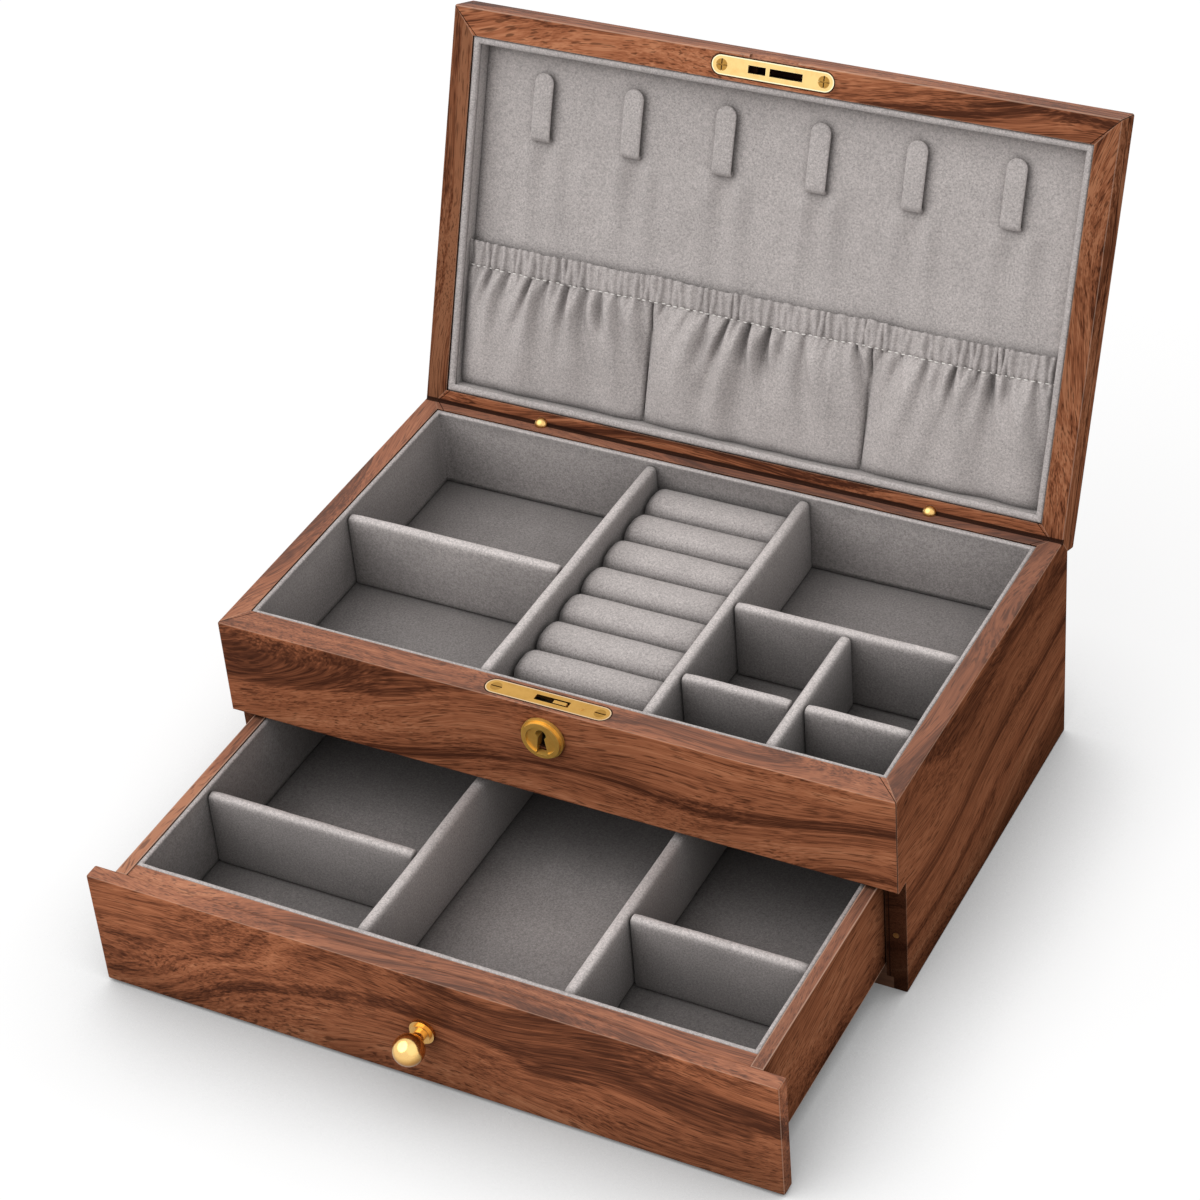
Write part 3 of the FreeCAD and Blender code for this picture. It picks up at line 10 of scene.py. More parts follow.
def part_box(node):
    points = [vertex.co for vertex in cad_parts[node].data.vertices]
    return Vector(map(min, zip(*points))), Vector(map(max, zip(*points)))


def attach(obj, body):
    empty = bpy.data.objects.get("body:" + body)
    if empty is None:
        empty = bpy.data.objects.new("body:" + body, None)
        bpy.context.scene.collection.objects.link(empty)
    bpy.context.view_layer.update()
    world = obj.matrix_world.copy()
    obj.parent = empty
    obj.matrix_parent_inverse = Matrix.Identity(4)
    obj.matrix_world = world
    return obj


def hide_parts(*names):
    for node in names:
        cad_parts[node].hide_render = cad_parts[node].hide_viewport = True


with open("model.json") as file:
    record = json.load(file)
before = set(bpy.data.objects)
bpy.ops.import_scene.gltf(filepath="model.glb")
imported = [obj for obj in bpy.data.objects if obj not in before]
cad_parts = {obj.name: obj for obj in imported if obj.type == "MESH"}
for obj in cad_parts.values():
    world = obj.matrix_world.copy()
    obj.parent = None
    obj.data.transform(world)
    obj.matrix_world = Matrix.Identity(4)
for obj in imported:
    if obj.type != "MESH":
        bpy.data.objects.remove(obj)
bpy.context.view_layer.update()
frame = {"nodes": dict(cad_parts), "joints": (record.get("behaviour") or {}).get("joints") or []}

# A walnut jewellery box. Its boards and fittings are the CAD model's own solids, with materials
# from here. Its suede is drawn here, over the plain solids of the linings and the pocket.
# Lengths are in millimetres, in the model's own frame, and inside the materials in metres.
MM = 0.001
QUARTER = math.pi / 2


# ---- the nodes' boxes

HINGE = next(joint for joint in frame["joints"] if joint["name"] == "lid_hinge")
LID_PIVOT = np.array(HINGE["pos_m"], float) / MM
LID_OPEN = -math.radians(HINGE["range_deg"][1])
LID_TURN = np.array(Matrix.Rotation(LID_OPEN, 3, "X"))


def box(node):
    """The node's low and high corners."""
    low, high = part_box(node)
    return np.array(low) / MM, np.array(high) / MM


def lid_box(node):
    """The node's low and high corners in the lid's own frame, in which the lid lies flat."""
    points = np.array([v.co for v in frame["nodes"][node].data.vertices]) / MM
    points = (points - LID_PIVOT) @ LID_TURN
    return points.min(0), points.max(0)


def extent(box_of, *nodes):
    """The low and high corners of several nodes together."""
    lows, highs = zip(*map(box_of, nodes))
    return np.min(lows, 0), np.max(highs, 0)


LID_BOX = extent(lid_box, "lid_left_rail", "lid_right_rail", "lid_panel")
CASE_BOX = extent(box, "left_side_panel", "right_side_panel", "back_panel", "upper_front_panel")


# ---- node trees

# The Mix node's sockets when it mixes colours
MIX_FACTOR, MIX_A, MIX_B, MIX_RESULT = 0, 6, 7, 2

# A colour ramp ends at 1, so distances go into it in centimetres
CM_PER_METRE = 100


class Tree:
    """The node tree of a material or world, emptied and built again."""

    def __init__(self, owner):
        owner.use_nodes = True
        self.tree = owner.node_tree
        self.tree.nodes.clear()

    def add(self, kind, inputs=(), **settings):
        """A new node. `inputs` gives its sockets a value, or another node's output."""
        node = self.tree.nodes.new("ShaderNode" + kind)
        for key, value in settings.items():
            setattr(node, key, value)
        for key, value in dict(inputs).items():
            self.put(node, key, value)
        return node

    def put(self, node, key, value):
        if isinstance(value, bpy.types.NodeSocket):
            self.tree.links.new(value, node.inputs[key])
        else:
            node.inputs[key].default_value = value

    def math(self, operation, *values):
        return self.add("Math", enumerate(values), operation=operation).outputs[0]

    def open_sky(self, distance, samples):
        """1 in the open, and less in hollows and corners narrower than the distance."""
        node = self.add("AmbientOcclusion", {"Distance": distance}, samples=samples)
        return node.outputs["AO"]

    def sees_background(self):
        """1 for the rays that show the white background, 0 for those that light the box."""
        rays = self.add("LightPath").outputs
        seen = self.math("MAXIMUM", rays["Is Camera Ray"], rays["Is Glossy Ray"])
        return self.math("MAXIMUM", seen, rays["Is Transmission Ray"])


class Nodes(Tree):
    """One material, with its principled shader."""

    def __init__(self, name):
        self.material = bpy.data.materials.new(name)
        super().__init__(self.material)
        self.shader = self.add("BsdfPrincipled")
        self.add("OutputMaterial", {0: self.shader.outputs[0]})

    def set(self, **inputs):
        """Set the shader's own sockets."""
        for key, value in inputs.items():
            self.put(self.shader, key.replace("_", " "), value)

    def place(self, vector, location=(0, 0, 0), rotation=(0, 0, 0), scale=(1, 1, 1),
              kind="POINT"):
        return self.add("Mapping", {"Vector": vector, "Location": location,
                                    "Rotation": rotation, "Scale": scale},
                        vector_type=kind).outputs[0]

    def rest_place(self, lid=False):
        """Coordinates that stay with a body: the model's frame, or the lid's own."""
        vector = self.add("TexCoord").outputs["Object"]
        if lid:
            vector = self.place(vector, tuple(LID_PIVOT * MM), (LID_OPEN, 0, 0), kind="TEXTURE")
        return vector

    def facing(self):
        return self.add("NewGeometry").outputs["Normal"]

    def parts(self, vector):
        return self.add("SeparateXYZ", {0: vector}).outputs

    def apart(self, vector, axis, value):
        """The distance from the plane on which the vector's part `axis` has this value."""
        return self.math("ABSOLUTE", self.math("SUBTRACT", self.parts(vector)[axis], value))

    def vector(self, operation, *values):
        """A vector operation. LENGTH and DOT_PRODUCT give a number."""
        outputs = self.add("VectorMath", enumerate(values), operation=operation).outputs
        return outputs["Value" if operation in ("LENGTH", "DOT_PRODUCT") else "Vector"]

    def noise(self, vector, scale, detail=2.0, roughness=0.5, output=0):
        """Noise with about `scale` features to a metre."""
        node = self.add("TexNoise", {"Vector": vector, "Scale": scale, "Detail": detail,
                                     "Roughness": roughness})
        return node.outputs[output]

    def line_noise(self, value, scale, detail, roughness):
        node = self.add("TexNoise", {"W": value, "Scale": scale, "Detail": detail,
                                     "Roughness": roughness}, noise_dimensions="1D")
        return node.outputs[0]

    def grain(self, vector, along, across, detail, roughness):
        """Noise drawn out along X."""
        return self.noise(self.place(vector, scale=(along, across, across)), 1.0, detail,
                          roughness)

    def edge_wear_and_highlight(self, radius, samples, stops):
        """A mask of the rounded edges, for their wear and a painted highlight. Its ramp takes the
        dot product of the two normals.
        """
        rounded = self.add("Bevel", {"Radius": radius}, samples=samples).outputs[0]
        return self.ramp(self.vector("DOT_PRODUCT", rounded, self.facing()), stops)

    def bump(self, height, strength, distance):
        return self.add("Bump", {"Height": height, "Strength": strength,
                                 "Distance": distance}).outputs[0]

    def ramp(self, value, stops):
        """A colour ramp through the stops (position, colour or grey)."""
        node = self.add("ValToRGB", {"Fac": value})
        elements = node.color_ramp.elements
        while len(elements) < len(stops):
            elements.new(1.0)
        for element, (where, colour) in zip(elements, stops):
            element.position = where
            element.color = (*(colour if isinstance(colour, tuple) else (colour,) * 3), 1)
        return node.outputs[0]

    def mix(self, factor, a, b, blend="MIX"):
        node = self.add("Mix", data_type="RGBA", blend_type=blend)
        for key, value in ((MIX_FACTOR, factor), (MIX_A, a), (MIX_B, b)):
            self.put(node, key, (*value, 1) if isinstance(value, tuple) else value)
        return node.outputs[MIX_RESULT]

    def shade(self, colour, value, stops):
        """The colour times a ramp of the value."""
        return self.mix(1.0, colour, self.ramp(value, stops), "MULTIPLY")

    def line(self, colour, distance, ink, strength, full, gone):
        """The colour with a line on it, at its full strength up to `full` and gone at `gone`."""
        return self.mix(self.ramp(distance, [(full, strength), (gone, 0.0)]), colour, ink)


# ---- distances to edges and joints

MITRE_HALF, HINGE_HALF, SEAM_HALF = 0.028, 0.120, 0.040      # half widths of lines, in cm
SEAM_AT = 0.58          # where the lid's side seam is, as a share of the lid's thickness


def edge_distance(n, own, low, high):
    """How far inside the box's nearest edge a point on its surface lies, in centimetres."""
    a, b, c = (n.math("SUBTRACT", (high[k] - low[k]) / 2 * MM,
                      n.apart(own, k, (high[k] + low[k]) / 2 * MM)) for k in range(3))
    second = n.math("MAXIMUM", n.math("MINIMUM", a, b),
                    n.math("MINIMUM", n.math("MAXIMUM", a, b), c))
    return n.math("MULTIPLY", second, CM_PER_METRE)


def joint_lines(n, own, lid):
    """The thin dark lines: the mitres' and the lid's side seam's dark joints, and the painted
    shade in the hinge gap.

    Each has a distance in centimetres and the line's half width.
    """
    low, high = LID_BOX if lid else CASE_BOX
    middle, size = (low + high) / 2 * MM, (high - low) / 2 * MM
    from_end, from_side = (n.math("SUBTRACT", size[k], n.apart(own, k, middle[k]))
                           for k in (0, 1))
    mitre = n.math("ABSOLUTE", n.math("SUBTRACT", from_end, from_side))
    pivot = (0, 0, 0) if lid else LID_PIVOT * MM
    hinge = n.math("MAXIMUM", n.apart(own, 1, pivot[1]), n.apart(own, 2, pivot[2]))
    lines = [(mitre, MITRE_HALF), (hinge, HINGE_HALF)]
    if lid:
        seam = (low[2] * (1 - SEAM_AT) + high[2] * SEAM_AT) * MM
        lines.append((n.apart(own, 2, seam), SEAM_HALF))
    return [(n.math("MULTIPLY", line, CM_PER_METRE), half) for line, half in lines]


def plate_edge(n, own, low, high):
    """How far outside a round-ended plate's outline a point lies, in centimetres."""
    middle, half = (low + high) / 2 * MM, (high - low) / 2 * MM
    along, across = (n.apart(own, k, middle[k]) for k in (0, 1))
    along = n.math("MAXIMUM", n.math("SUBTRACT", along, half[0] - half[1]), 0.0)
    from_line = n.math("SQRT", n.math("ADD", n.math("POWER", along, 2),
                                      n.math("POWER", across, 2)))
    return n.math("MULTIPLY", n.math("SUBTRACT", from_line, half[1]), CM_PER_METRE)


# ---- wood

# The log's bend: how much its noise is stretched along it, the noise's scale, and its reach
BEND_STRETCH, BEND_SCALE, BEND_METRES = 0.36, 19.0, 0.055

# Noise round the log's heart: scale, detail, roughness
FLAME, RINGS = (62.0, 1.0, 0.5), (290.0, 2.0, 0.6)

# Noise drawn out along the grain: scale along, scale across, detail, roughness
STREAK, FIBRE, HAIR = (7, 190, 2.0, 0.55), (15, 880, 2.0, 0.6), (45, 2300, 1.0, 0.6)
PORES, MOTTLE = (95, 1500, 1.0, 0.5), (20, 400, 2.0, 0.6)
PLAIN_GRAIN, PLAIN_PORES = (6, 160, 4.0, 0.6), (50, 1500, 1.0, 0.5)
MOTTLE_WEIGHT = 1.1     # for each 1 that a board's gain is above 1

WALNUT = [(0.24, (0.070, 0.023, 0.012)), (0.37, (0.150, 0.050, 0.024)),
          (0.48, (0.262, 0.090, 0.042)), (0.60, (0.335, 0.122, 0.058)),
          (0.76, (0.440, 0.182, 0.092))]
WALNUT_LEVEL = 1.27
PORE_DARK = (0.050, 0.017, 0.009)
PAINTED_TOP_SHEEN = (0.52, 0.36, 0.31)           # painted sheen on a face that looks up
EDGE_WEAR_AND_HIGHLIGHT = (0.62, 0.38, 0.26)          # rubbed edges, and a painted highlight along them
PAINTED_EDGE_HIGHLIGHT = (0.66, 0.43, 0.32)          # painted highlight: a fine light line along an edge
JOINT_DARK_AND_GAP_SHADE = (0.022, 0.009, 0.006)        # dark joints, and painted shade in the hinge gap and round a plate
REVEAL_PAINTED_SHADE = (0.020, 0.008, 0.005)     # painted shade on the sides' front edges beside the drawer


def wood_figure(n, board, gain):
    """The figure's strength about 0.5, with its fibres, hairs and pores."""
    slow = n.place(board, scale=(BEND_STRETCH, 1, 1))
    drift = n.vector("SUBTRACT", n.noise(slow, BEND_SCALE, 1.2, 0.4, "Color"), (0.5, 0.5, 0.5))
    bent = n.vector("ADD", board, n.vector("MULTIPLY", drift, (0, BEND_METRES, BEND_METRES)))
    radius = n.vector("LENGTH", n.vector("MULTIPLY", bent, (0.0, 1.0, 1.0)))
    flame, rings = n.line_noise(radius, *FLAME), n.line_noise(radius, *RINGS)
    streak, fibre, hair, pores, mottle = (n.grain(bent, *layer)
                                          for layer in (STREAK, FIBRE, HAIR, PORES, MOTTLE))
    rough = MOTTLE_WEIGHT * max(gain - 1, 0)
    figure = n.math("MULTIPLY_ADD", mottle, rough, 0.5 - rough / 2)
    for layer, weight in ((flame, 0.85), (rings, 0.34), (streak, 0.34), (fibre, 0.46),
                          (hair, 0.42)):
        weight *= gain
        figure = n.math("ADD", n.math("MULTIPLY_ADD", layer, weight, -weight / 2), figure)
    return figure, fibre, hair, n.ramp(pores, [(0.57, 0.0), (0.66, 1.0)])


def walnut(name, turn, shift, lean, lid=False, tone=1.0, gain=1.0, gloss=0.012, edges=None,
           plate=None, reveal=False):
    """Satin walnut. Its grain runs along X, turned by `turn` about Z and leaning by `lean`.

    `shift` is the board's place in the log, `tone` its level and `gain` its figure's contrast.
    It draws a painted highlight along the edges of the lid or the case, or else of the box
    `edges`, and without `edges` the dark joints and a painted shade in the hinge gap. `plate` is
    the box of a plate let into it, with a painted shadow gap round it, and `reveal` paints shade
    on its front edge below the upper front panel.
    """
    n = Nodes(name)
    own = n.rest_place(lid)
    here = n.place(own, rotation=(0, 0, -turn))
    board = n.place(here, location=shift, rotation=(0, *lean))
    figure, fibre, hair, pores = wood_figure(n, board, gain)
    wood = n.ramp(figure, [(at, tuple(c * tone * WALNUT_LEVEL for c in colour))
                           for at, colour in WALNUT])
    patch = n.noise(n.place(board, scale=(0.5, 1, 1)), scale=13.0, detail=1.0, roughness=0.4)
    wood = n.shade(wood, patch, [(0.3, 0.84), (0.7, 1.14)])
    wood = n.mix(n.math("MULTIPLY", pores, 0.62), wood, PORE_DARK)

    facing = n.parts(n.facing())
    # Painted sheen: faces that look up are drawn paler
    wood = n.mix(n.ramp(facing[2], [(0.80, 0.0), (0.98, 0.17)]), wood, PAINTED_TOP_SHEEN)
    # Paler rounded edges: rubbing wear, and a painted highlight along them
    worn_and_highlit = n.edge_wear_and_highlight(radius=0.0008, samples=6, stops=[(0.76, 1.0), (0.975, 0.0)])
    wood = n.mix(n.math("MULTIPLY", worn_and_highlit, 0.50), wood, EDGE_WEAR_AND_HIGHLIGHT)
    # Painted shade in hollows and corners narrower than 35 mm
    wood = n.shade(wood, n.open_sky(distance=0.035, samples=4),
                   [(0.2, 0.15), (0.55, 0.5), (0.92, 1.0)])

    # Painted highlight: a fine light line along the box's edges
    edge_highlight_distance = edge_distance(n, own, *(edges or (LID_BOX if lid else CASE_BOX)))
    wood = n.line(wood, edge_highlight_distance, PAINTED_EDGE_HIGHLIGHT, strength=0.44, full=0.028, gone=0.055)
    if not edges:
        # Dark joints; the line along the hinge gap is painted shade
        for joint, half in joint_lines(n, own, lid):
            wood = n.line(wood, joint, JOINT_DARK_AND_GAP_SHADE, strength=0.93, full=half * 0.80, gone=half)
    # Painted shadow of a gap round the flush plate
    if plate:
        gap = plate_edge(n, own, *plate)
        wood = n.line(wood, gap, JOINT_DARK_AND_GAP_SHADE, strength=0.94, full=0.040, gone=0.068)
    # Painted shade on the sides' front edges under the upper front panel's overhang
    if reveal:
        front = n.ramp(n.math("MULTIPLY", facing[1], -1), [(0.85, 0.0), (0.95, 0.62)])
        panel_foot = box("upper_front_panel")[0][2] * MM
        below = n.math("LESS_THAN", n.parts(own)[2], panel_foot)
        wood = n.mix(n.math("MULTIPLY", front, below), wood, REVEAL_PAINTED_SHADE)

    height = n.math("MULTIPLY_ADD", pores, -0.7, hair)
    n.set(Base_Color=wood, Roughness=n.math("MULTIPLY_ADD", fibre, 0.18, 0.36),
          Normal=n.bump(height, strength=0.4, distance=0.00014), Specular_IOR_Level=gloss)
    return n.material


def plain_wood(name, turn):
    """Matte inner boards, which hardly show."""
    n = Nodes(name)
    here = n.place(n.rest_place(), rotation=(0, 0, -turn))
    wood = n.ramp(n.grain(here, *PLAIN_GRAIN),
                  [(0.3, (0.060, 0.024, 0.012)), (0.7, (0.150, 0.066, 0.034))])
    pores = n.grain(here, *PLAIN_PORES)
    n.set(Base_Color=wood, Roughness=0.6, Specular_IOR_Level=0.2,
          Normal=n.bump(pores, strength=0.3, distance=0.0001))
    return n.material


# ---- suede, thread and metal

SUEDE = (0.470, 0.430, 0.417)


def suede(name, lid=False, level=1.0, nap=1.0, hollow=0.06, crest=1.14):
    """Warm grey suede, with a speckled nap that is brushed in patches.

    It has painted shade in hollows narrower than `hollow`, and a painted highlight that makes its
    most open crests times `crest`.
    """
    n = Nodes(name)
    here = n.rest_place(lid)
    speck = n.noise(here, 1150.0, 2.0, 0.75)
    fleck = n.noise(here, 2600.0, 1.0, 0.6)
    brushed = n.noise(here, 75.0, 3.0, 0.6)
    cloud = n.noise(here, 17.0, 2.0, 0.5)
    grain = n.math("MULTIPLY_ADD", fleck, 0.45, n.math("MULTIPLY", speck, 0.8))
    dark, light = (tuple(c * level * k for c in SUEDE) for k in (0.66, 1.36))
    cloth = n.ramp(grain, [(0.42, dark), (0.84, light)])
    cloth = n.shade(cloth, brushed, [(0.3, 0.95), (0.7, 1.05)])
    cloth = n.shade(cloth, cloud, [(0.3, 0.97), (0.7, 1.03)])
    # Painted shade in hollows, and a painted highlight on the most open crests
    cloth = n.shade(cloth, n.open_sky(hollow, samples=6),
                    [(0.15, 0.32), (0.58, 0.70), (0.90, 1.0), (1.0, crest)])
    height = n.math("MULTIPLY_ADD", brushed, 0.5, grain)
    n.set(Base_Color=cloth, Roughness=0.95, Specular_IOR_Level=0.08, Sheen_Weight=0.22,
          Sheen_Roughness=0.55, Sheen_Tint=(0.95, 0.93, 0.91, 1),
          Normal=n.bump(height, strength=0.45 * nap, distance=0.0003))
    return n.material


def thread(name, colour):
    """Twisted sewing thread."""
    n = Nodes(name)
    twist = n.noise(n.rest_place(lid=True), 3800.0, 1.0)
    shade = n.ramp(twist, [(0.35, tuple(c * 0.8 for c in colour)), (0.65, colour)])
    n.set(Base_Color=shade, Roughness=0.7, Specular_IOR_Level=0.2,
          Normal=n.bump(twist, strength=0.4, distance=0.0001))
    return n.material


def metal(name, colour, rough, wear=0.12, brush=(1, 1, 1), lid=False, body=1.0, plate=None):
    """Satin metal with faint tarnish, fine scratches, paler edges that are wear and a painted
    highlight, painted shade in its hollows, and a painted reflection and shade that darken and
    brown the faces that look down.

    `brush` stretches the scratches where it is less than 1, `body` is how metallic the colour
    is, and `plate` is the box of a plate whose bevelled rim gets a painted highlight.
    """
    n = Nodes(name)
    here = n.rest_place(lid)
    tarnish = n.noise(here, 210.0, 3.0, 0.6)
    scratch = n.noise(n.place(here, scale=tuple(b * 900.0 for b in brush)), 1.0, 2.0, 0.7)
    dull = tuple(c * k for c, k in zip(colour, (0.80, 0.72, 0.58)))
    bright = tuple(min(1.0, c * k) for c, k in zip(colour, (1.3, 1.45, 1.9)))
    tint = n.mix(n.ramp(tarnish, [(0.45, 0.0), (0.8, 0.75)]), colour, dull)
    # Paler rounded edges: rubbing wear, and a painted highlight along them
    worn_and_highlit = n.edge_wear_and_highlight(radius=0.0005, samples=8, stops=[(0.70, 0.8), (0.98, 0.0)])
    tint = n.mix(worn_and_highlit, tint, bright)
    if plate:
        # Painted highlight along the plate's bevelled rim
        inside = n.math("MULTIPLY", plate_edge(n, here, *plate), -1)
        painted_rim_highlight = tuple(0.65 * c + 0.35 for c in bright)
        tint = n.line(tint, inside, painted_rim_highlight, strength=0.85, full=0.036, gone=0.056)
    # Painted shade in the metal's hollows
    tint = n.shade(tint, n.open_sky(distance=0.002, samples=8), [(0.15, 0.2), (0.55, 1.0)])
    # Painted reflection and shade: faces that look down are darker and browner
    painted_reflection_facing = n.math("MULTIPLY_ADD", n.parts(n.facing())[2], 0.5, 0.5)
    tint = n.shade(tint, painted_reflection_facing, [(0.0, (0.34, 0.22, 0.14)), (0.40, (0.58, 0.46, 0.34)),
                                  (0.62, (0.95, 0.92, 0.88)), (0.8, (1, 1, 1))])
    n.set(Base_Color=tint, Metallic=body, Roughness=n.math("MULTIPLY_ADD", scratch, wear, rough),
          Normal=n.bump(scratch, strength=0.10, distance=0.00002))
    return n.material


# ---- the materials of each node

ALONG_X, ALONG_Y = 0, QUARTER           # the way a board's grain runs

WOOD = {
    "upper_front_panel": walnut("walnut_front", ALONG_X, (0.02, 0.055, -0.15), (0.16, 0.05),
                                plate=box("lock_plate")),
    "drawer_front": walnut("walnut_drawer_front", ALONG_X, (0.31, 0.155, -0.055), (0.07, -0.06),
                           edges=box("drawer_front")),
    "back_panel": walnut("walnut_back", ALONG_X, (0.7, -0.13, -0.02), (0.05, 0.04)),
    "left_side_panel": walnut("walnut_left", ALONG_Y, (0.11, 0.20, -0.05), (-0.05, 0.04),
                              reveal=True),
    # Its lower tone is painted shade, for a board that faces away from the key sun
    "right_side_panel": walnut("walnut_right", ALONG_Y, (0.43, 0.10, -0.13), (0.10, 0.05),
                               tone=0.74, gain=0.80, gloss=0, reveal=True),
    "drawer_left_side": walnut("walnut_drawer_left", ALONG_Y, (0.9, 0.12, -0.09), (0.03, 0.02),
                               edges=box("drawer_left_side")),
    # Its lower tone is painted shade, for a board that faces away from the key sun
    "drawer_right_side": walnut("walnut_drawer_right", ALONG_Y, (0.5, 0.19, -0.10), (0.06, 0.03),
                                tone=0.70, gloss=0, edges=box("drawer_right_side")),
    "drawer_back": walnut("walnut_drawer_back", ALONG_X, (1.3, 0.11, -0.01), (0.02, 0.03),
                          edges=box("drawer_back")),
    "lid_front_rail": walnut("walnut_lid_front", ALONG_X, (0.55, 0.24, -0.03), (0.03, 0.06),
                             lid=True, tone=0.93, gain=1.3, plate=lid_box("strike_plate")),
    "lid_back_rail": walnut("walnut_lid_back", ALONG_X, (1.1, 0.09, -0.04), (0.02, 0.03),
                            lid=True, tone=0.95, gain=1.3),
    "lid_left_rail": walnut("walnut_lid_left", ALONG_Y, (1.4, 0.11, -0.04), (0.02, 0.07),
                            lid=True, tone=0.48, gain=1.7),
    "lid_right_rail": walnut("walnut_lid_right", ALONG_Y, (1.9, 0.10, -0.05), (0.03, 0.05),
                             lid=True, tone=0.70, gain=1.6, gloss=0),
    "lid_panel": walnut("walnut_lid_panel", ALONG_X, (0.2, 0.06, -0.07), (0.05, 0.04),
                        lid=True, edges=LID_BOX),
}
WOOD.update(dict.fromkeys(("bottom_board", "tray_floor_board", "drawer_stop_strip",
                           "drawer_bottom_panel"), plain_wood("inner_wood_across", ALONG_X)))
WOOD.update(dict.fromkeys(("drawer_kickers", "drawer_runners"),
                          plain_wood("inner_wood_along", ALONG_Y)))

ALONG_PLATE = (0.2, 1, 1)               # scratches that run along a plate
METAL = {
    "lock_plate": metal("brass_lock_plate", (0.70, 0.40, 0.105), 0.27, brush=ALONG_PLATE,
                        plate=box("lock_plate")),
    "escutcheon": metal("brass_escutcheon", (1.0, 0.62, 0.14), 0.26, body=0.60),
    "strike_plate": metal("brass_strike", (0.94, 0.65, 0.27), 0.28, brush=ALONG_PLATE, lid=True,
                          plate=lid_box("strike_plate")),
    "drawer_knob": metal("brass_knob", (0.96, 0.63, 0.24), 0.14, wear=0.06),
    "knob_rosette": metal("brass_rosette", (0.92, 0.58, 0.21), 0.16, wear=0.06),
    "hinge_carcass_barrels": metal("brass_hinge", (0.78, 0.50, 0.18), 0.24),
    "lock_plate_screws": metal("brass_screw", (0.50, 0.27, 0.06), 0.30),
    "strike_screws": metal("brass_lid_screw", (0.44, 0.24, 0.055), 0.28, lid=True),
    "drawer_bumpers": metal("brass_pin", (0.55, 0.33, 0.12), 0.35),
    "hinge_pins": metal("steel_pin", (0.60, 0.58, 0.55), 0.25),
    "lock_case": metal("steel_case", (0.34, 0.31, 0.28), 0.45),
}
METAL["hinge_lid_barrels"] = METAL["hinge_carcass_barrels"]
METAL["hook_bolt"] = METAL["lock_plate"]
METAL["knob_screw"] = METAL["hinge_pins"]

for name, material in {**WOOD, **METAL}.items():
    node = frame["nodes"][name]
    node.data.materials.clear()
    node.data.materials.append(material)
    for face in node.data.polygons:
        face.material_index = 0

CLOTH = suede("suede_lining")
# The floors' darker copy of the suede is painted shade
CLOTH_FLOOR_SHADED = suede("suede_floor_painted_shade", level=0.68)
# Its crest of 1.36 paints a brighter highlight on the dividers' tops
CLOTH_CARD = suede("suede_card", crest=1.36)
CLOTH_LID = suede("suede_lid", lid=True, hollow=0.005, crest=1.0)
CLOTH_POCKET = suede("suede_pocket", lid=True, level=1.04, nap=0.8, hollow=0.011, crest=1.0)
STITCH = thread("pale_thread", (0.88, 0.85, 0.81))


# ---- mesh tools

# A shell is an array of points and a list of faces
WAVE_COUNT = 7


def waves(points, size, seed):
    """A smooth seeded field, about -1 to 1, with features about `size` across."""
    rng = np.random.default_rng(seed)
    total = np.zeros(len(points))
    for _ in range(WAVE_COUNT):
        way = rng.normal(size=3)
        way /= np.linalg.norm(way)
        pitch = size * rng.uniform(1.4, 3.0)
        total += np.sin(points @ way * (2 * math.pi / pitch) + rng.uniform(0, 2 * math.pi))
    return total / math.sqrt(WAVE_COUNT) / 1.4


def bell(value, width):
    return np.exp(-(value / width) ** 2)


def full_turn(count):
    """Angles once round."""
    return np.linspace(0, 2 * math.pi, count, endpoint=False)


def squared_ring(count, across, up):
    """A unit circle's points in two parts, each squarer as its power falls below 1."""
    turn = full_turn(count)
    return tuple(np.sign(part) * np.abs(part) ** power
                 for part, power in ((np.cos(turn), across), (np.sin(turn), up)))


def side_steps(low, high, radius, step):
    """Positions along one side, closer together where the edge is rounded."""
    turns = radius * (1 - np.cos(np.linspace(0, QUARTER, 4)))
    middle = np.linspace(low + radius, high - radius, max(2, int((high - low) / step) + 1))
    return np.unique(np.round(np.concatenate([low + turns, middle, high - turns]), 5))


def soft_block(low, high, radii, step):
    """A closed box with rounded edges."""
    low, high = np.array(low, float), np.array(high, float)
    radii = np.minimum(np.array(radii, float), (high - low) / 2 - 0.001)
    lines = [side_steps(low[k], high[k], radii[k], step) for k in range(3)]
    sizes = [len(line) for line in lines]
    quads = []
    for axis in range(3):
        a, b = [k for k in range(3) if k != axis]
        i, j = np.meshgrid(np.arange(sizes[a] - 1), np.arange(sizes[b] - 1), indexing="ij")
        for end in (0, sizes[axis] - 1):
            corners = []
            for di, dj in ((0, 0), (1, 0), (1, 1), (0, 1)):
                index = [None] * 3
                index[axis] = np.full(i.size, end)
                index[a], index[b] = (i + di).ravel(), (j + dj).ravel()
                corners.append(np.ravel_multi_index(index, sizes))
            quads.append(np.stack(corners, 1))
    keys, faces = np.unique(np.concatenate(quads), return_inverse=True)
    index = np.unravel_index(keys, sizes)
    points = np.stack([lines[k][index[k]] for k in range(3)], 1)
    core = np.clip(points, low + radii, high - radii)
    way = (points - core) / radii
    way /= np.linalg.norm(way, axis=1)[:, None]
    return core + radii * way, faces.reshape(-1, 4).tolist()


def joined(shells):
    """Several shells as one."""
    points, faces, start = [], [], 0
    for shell_points, shell_faces in shells:
        points.append(shell_points)
        faces += [[i + start for i in face] for face in shell_faces]
        start += len(shell_points)
    return np.concatenate(points), faces


def loop_faces(rows, around, closed_rows=False):
    """Quads between `rows` rings of `around` points each."""
    faces = []
    for r in range(rows if closed_rows else rows - 1):
        a, b = r * around, (r + 1) % rows * around
        for k in range(around):
            m = (k + 1) % around
            faces.append([a + k, a + m, b + m, b + k])
    return faces


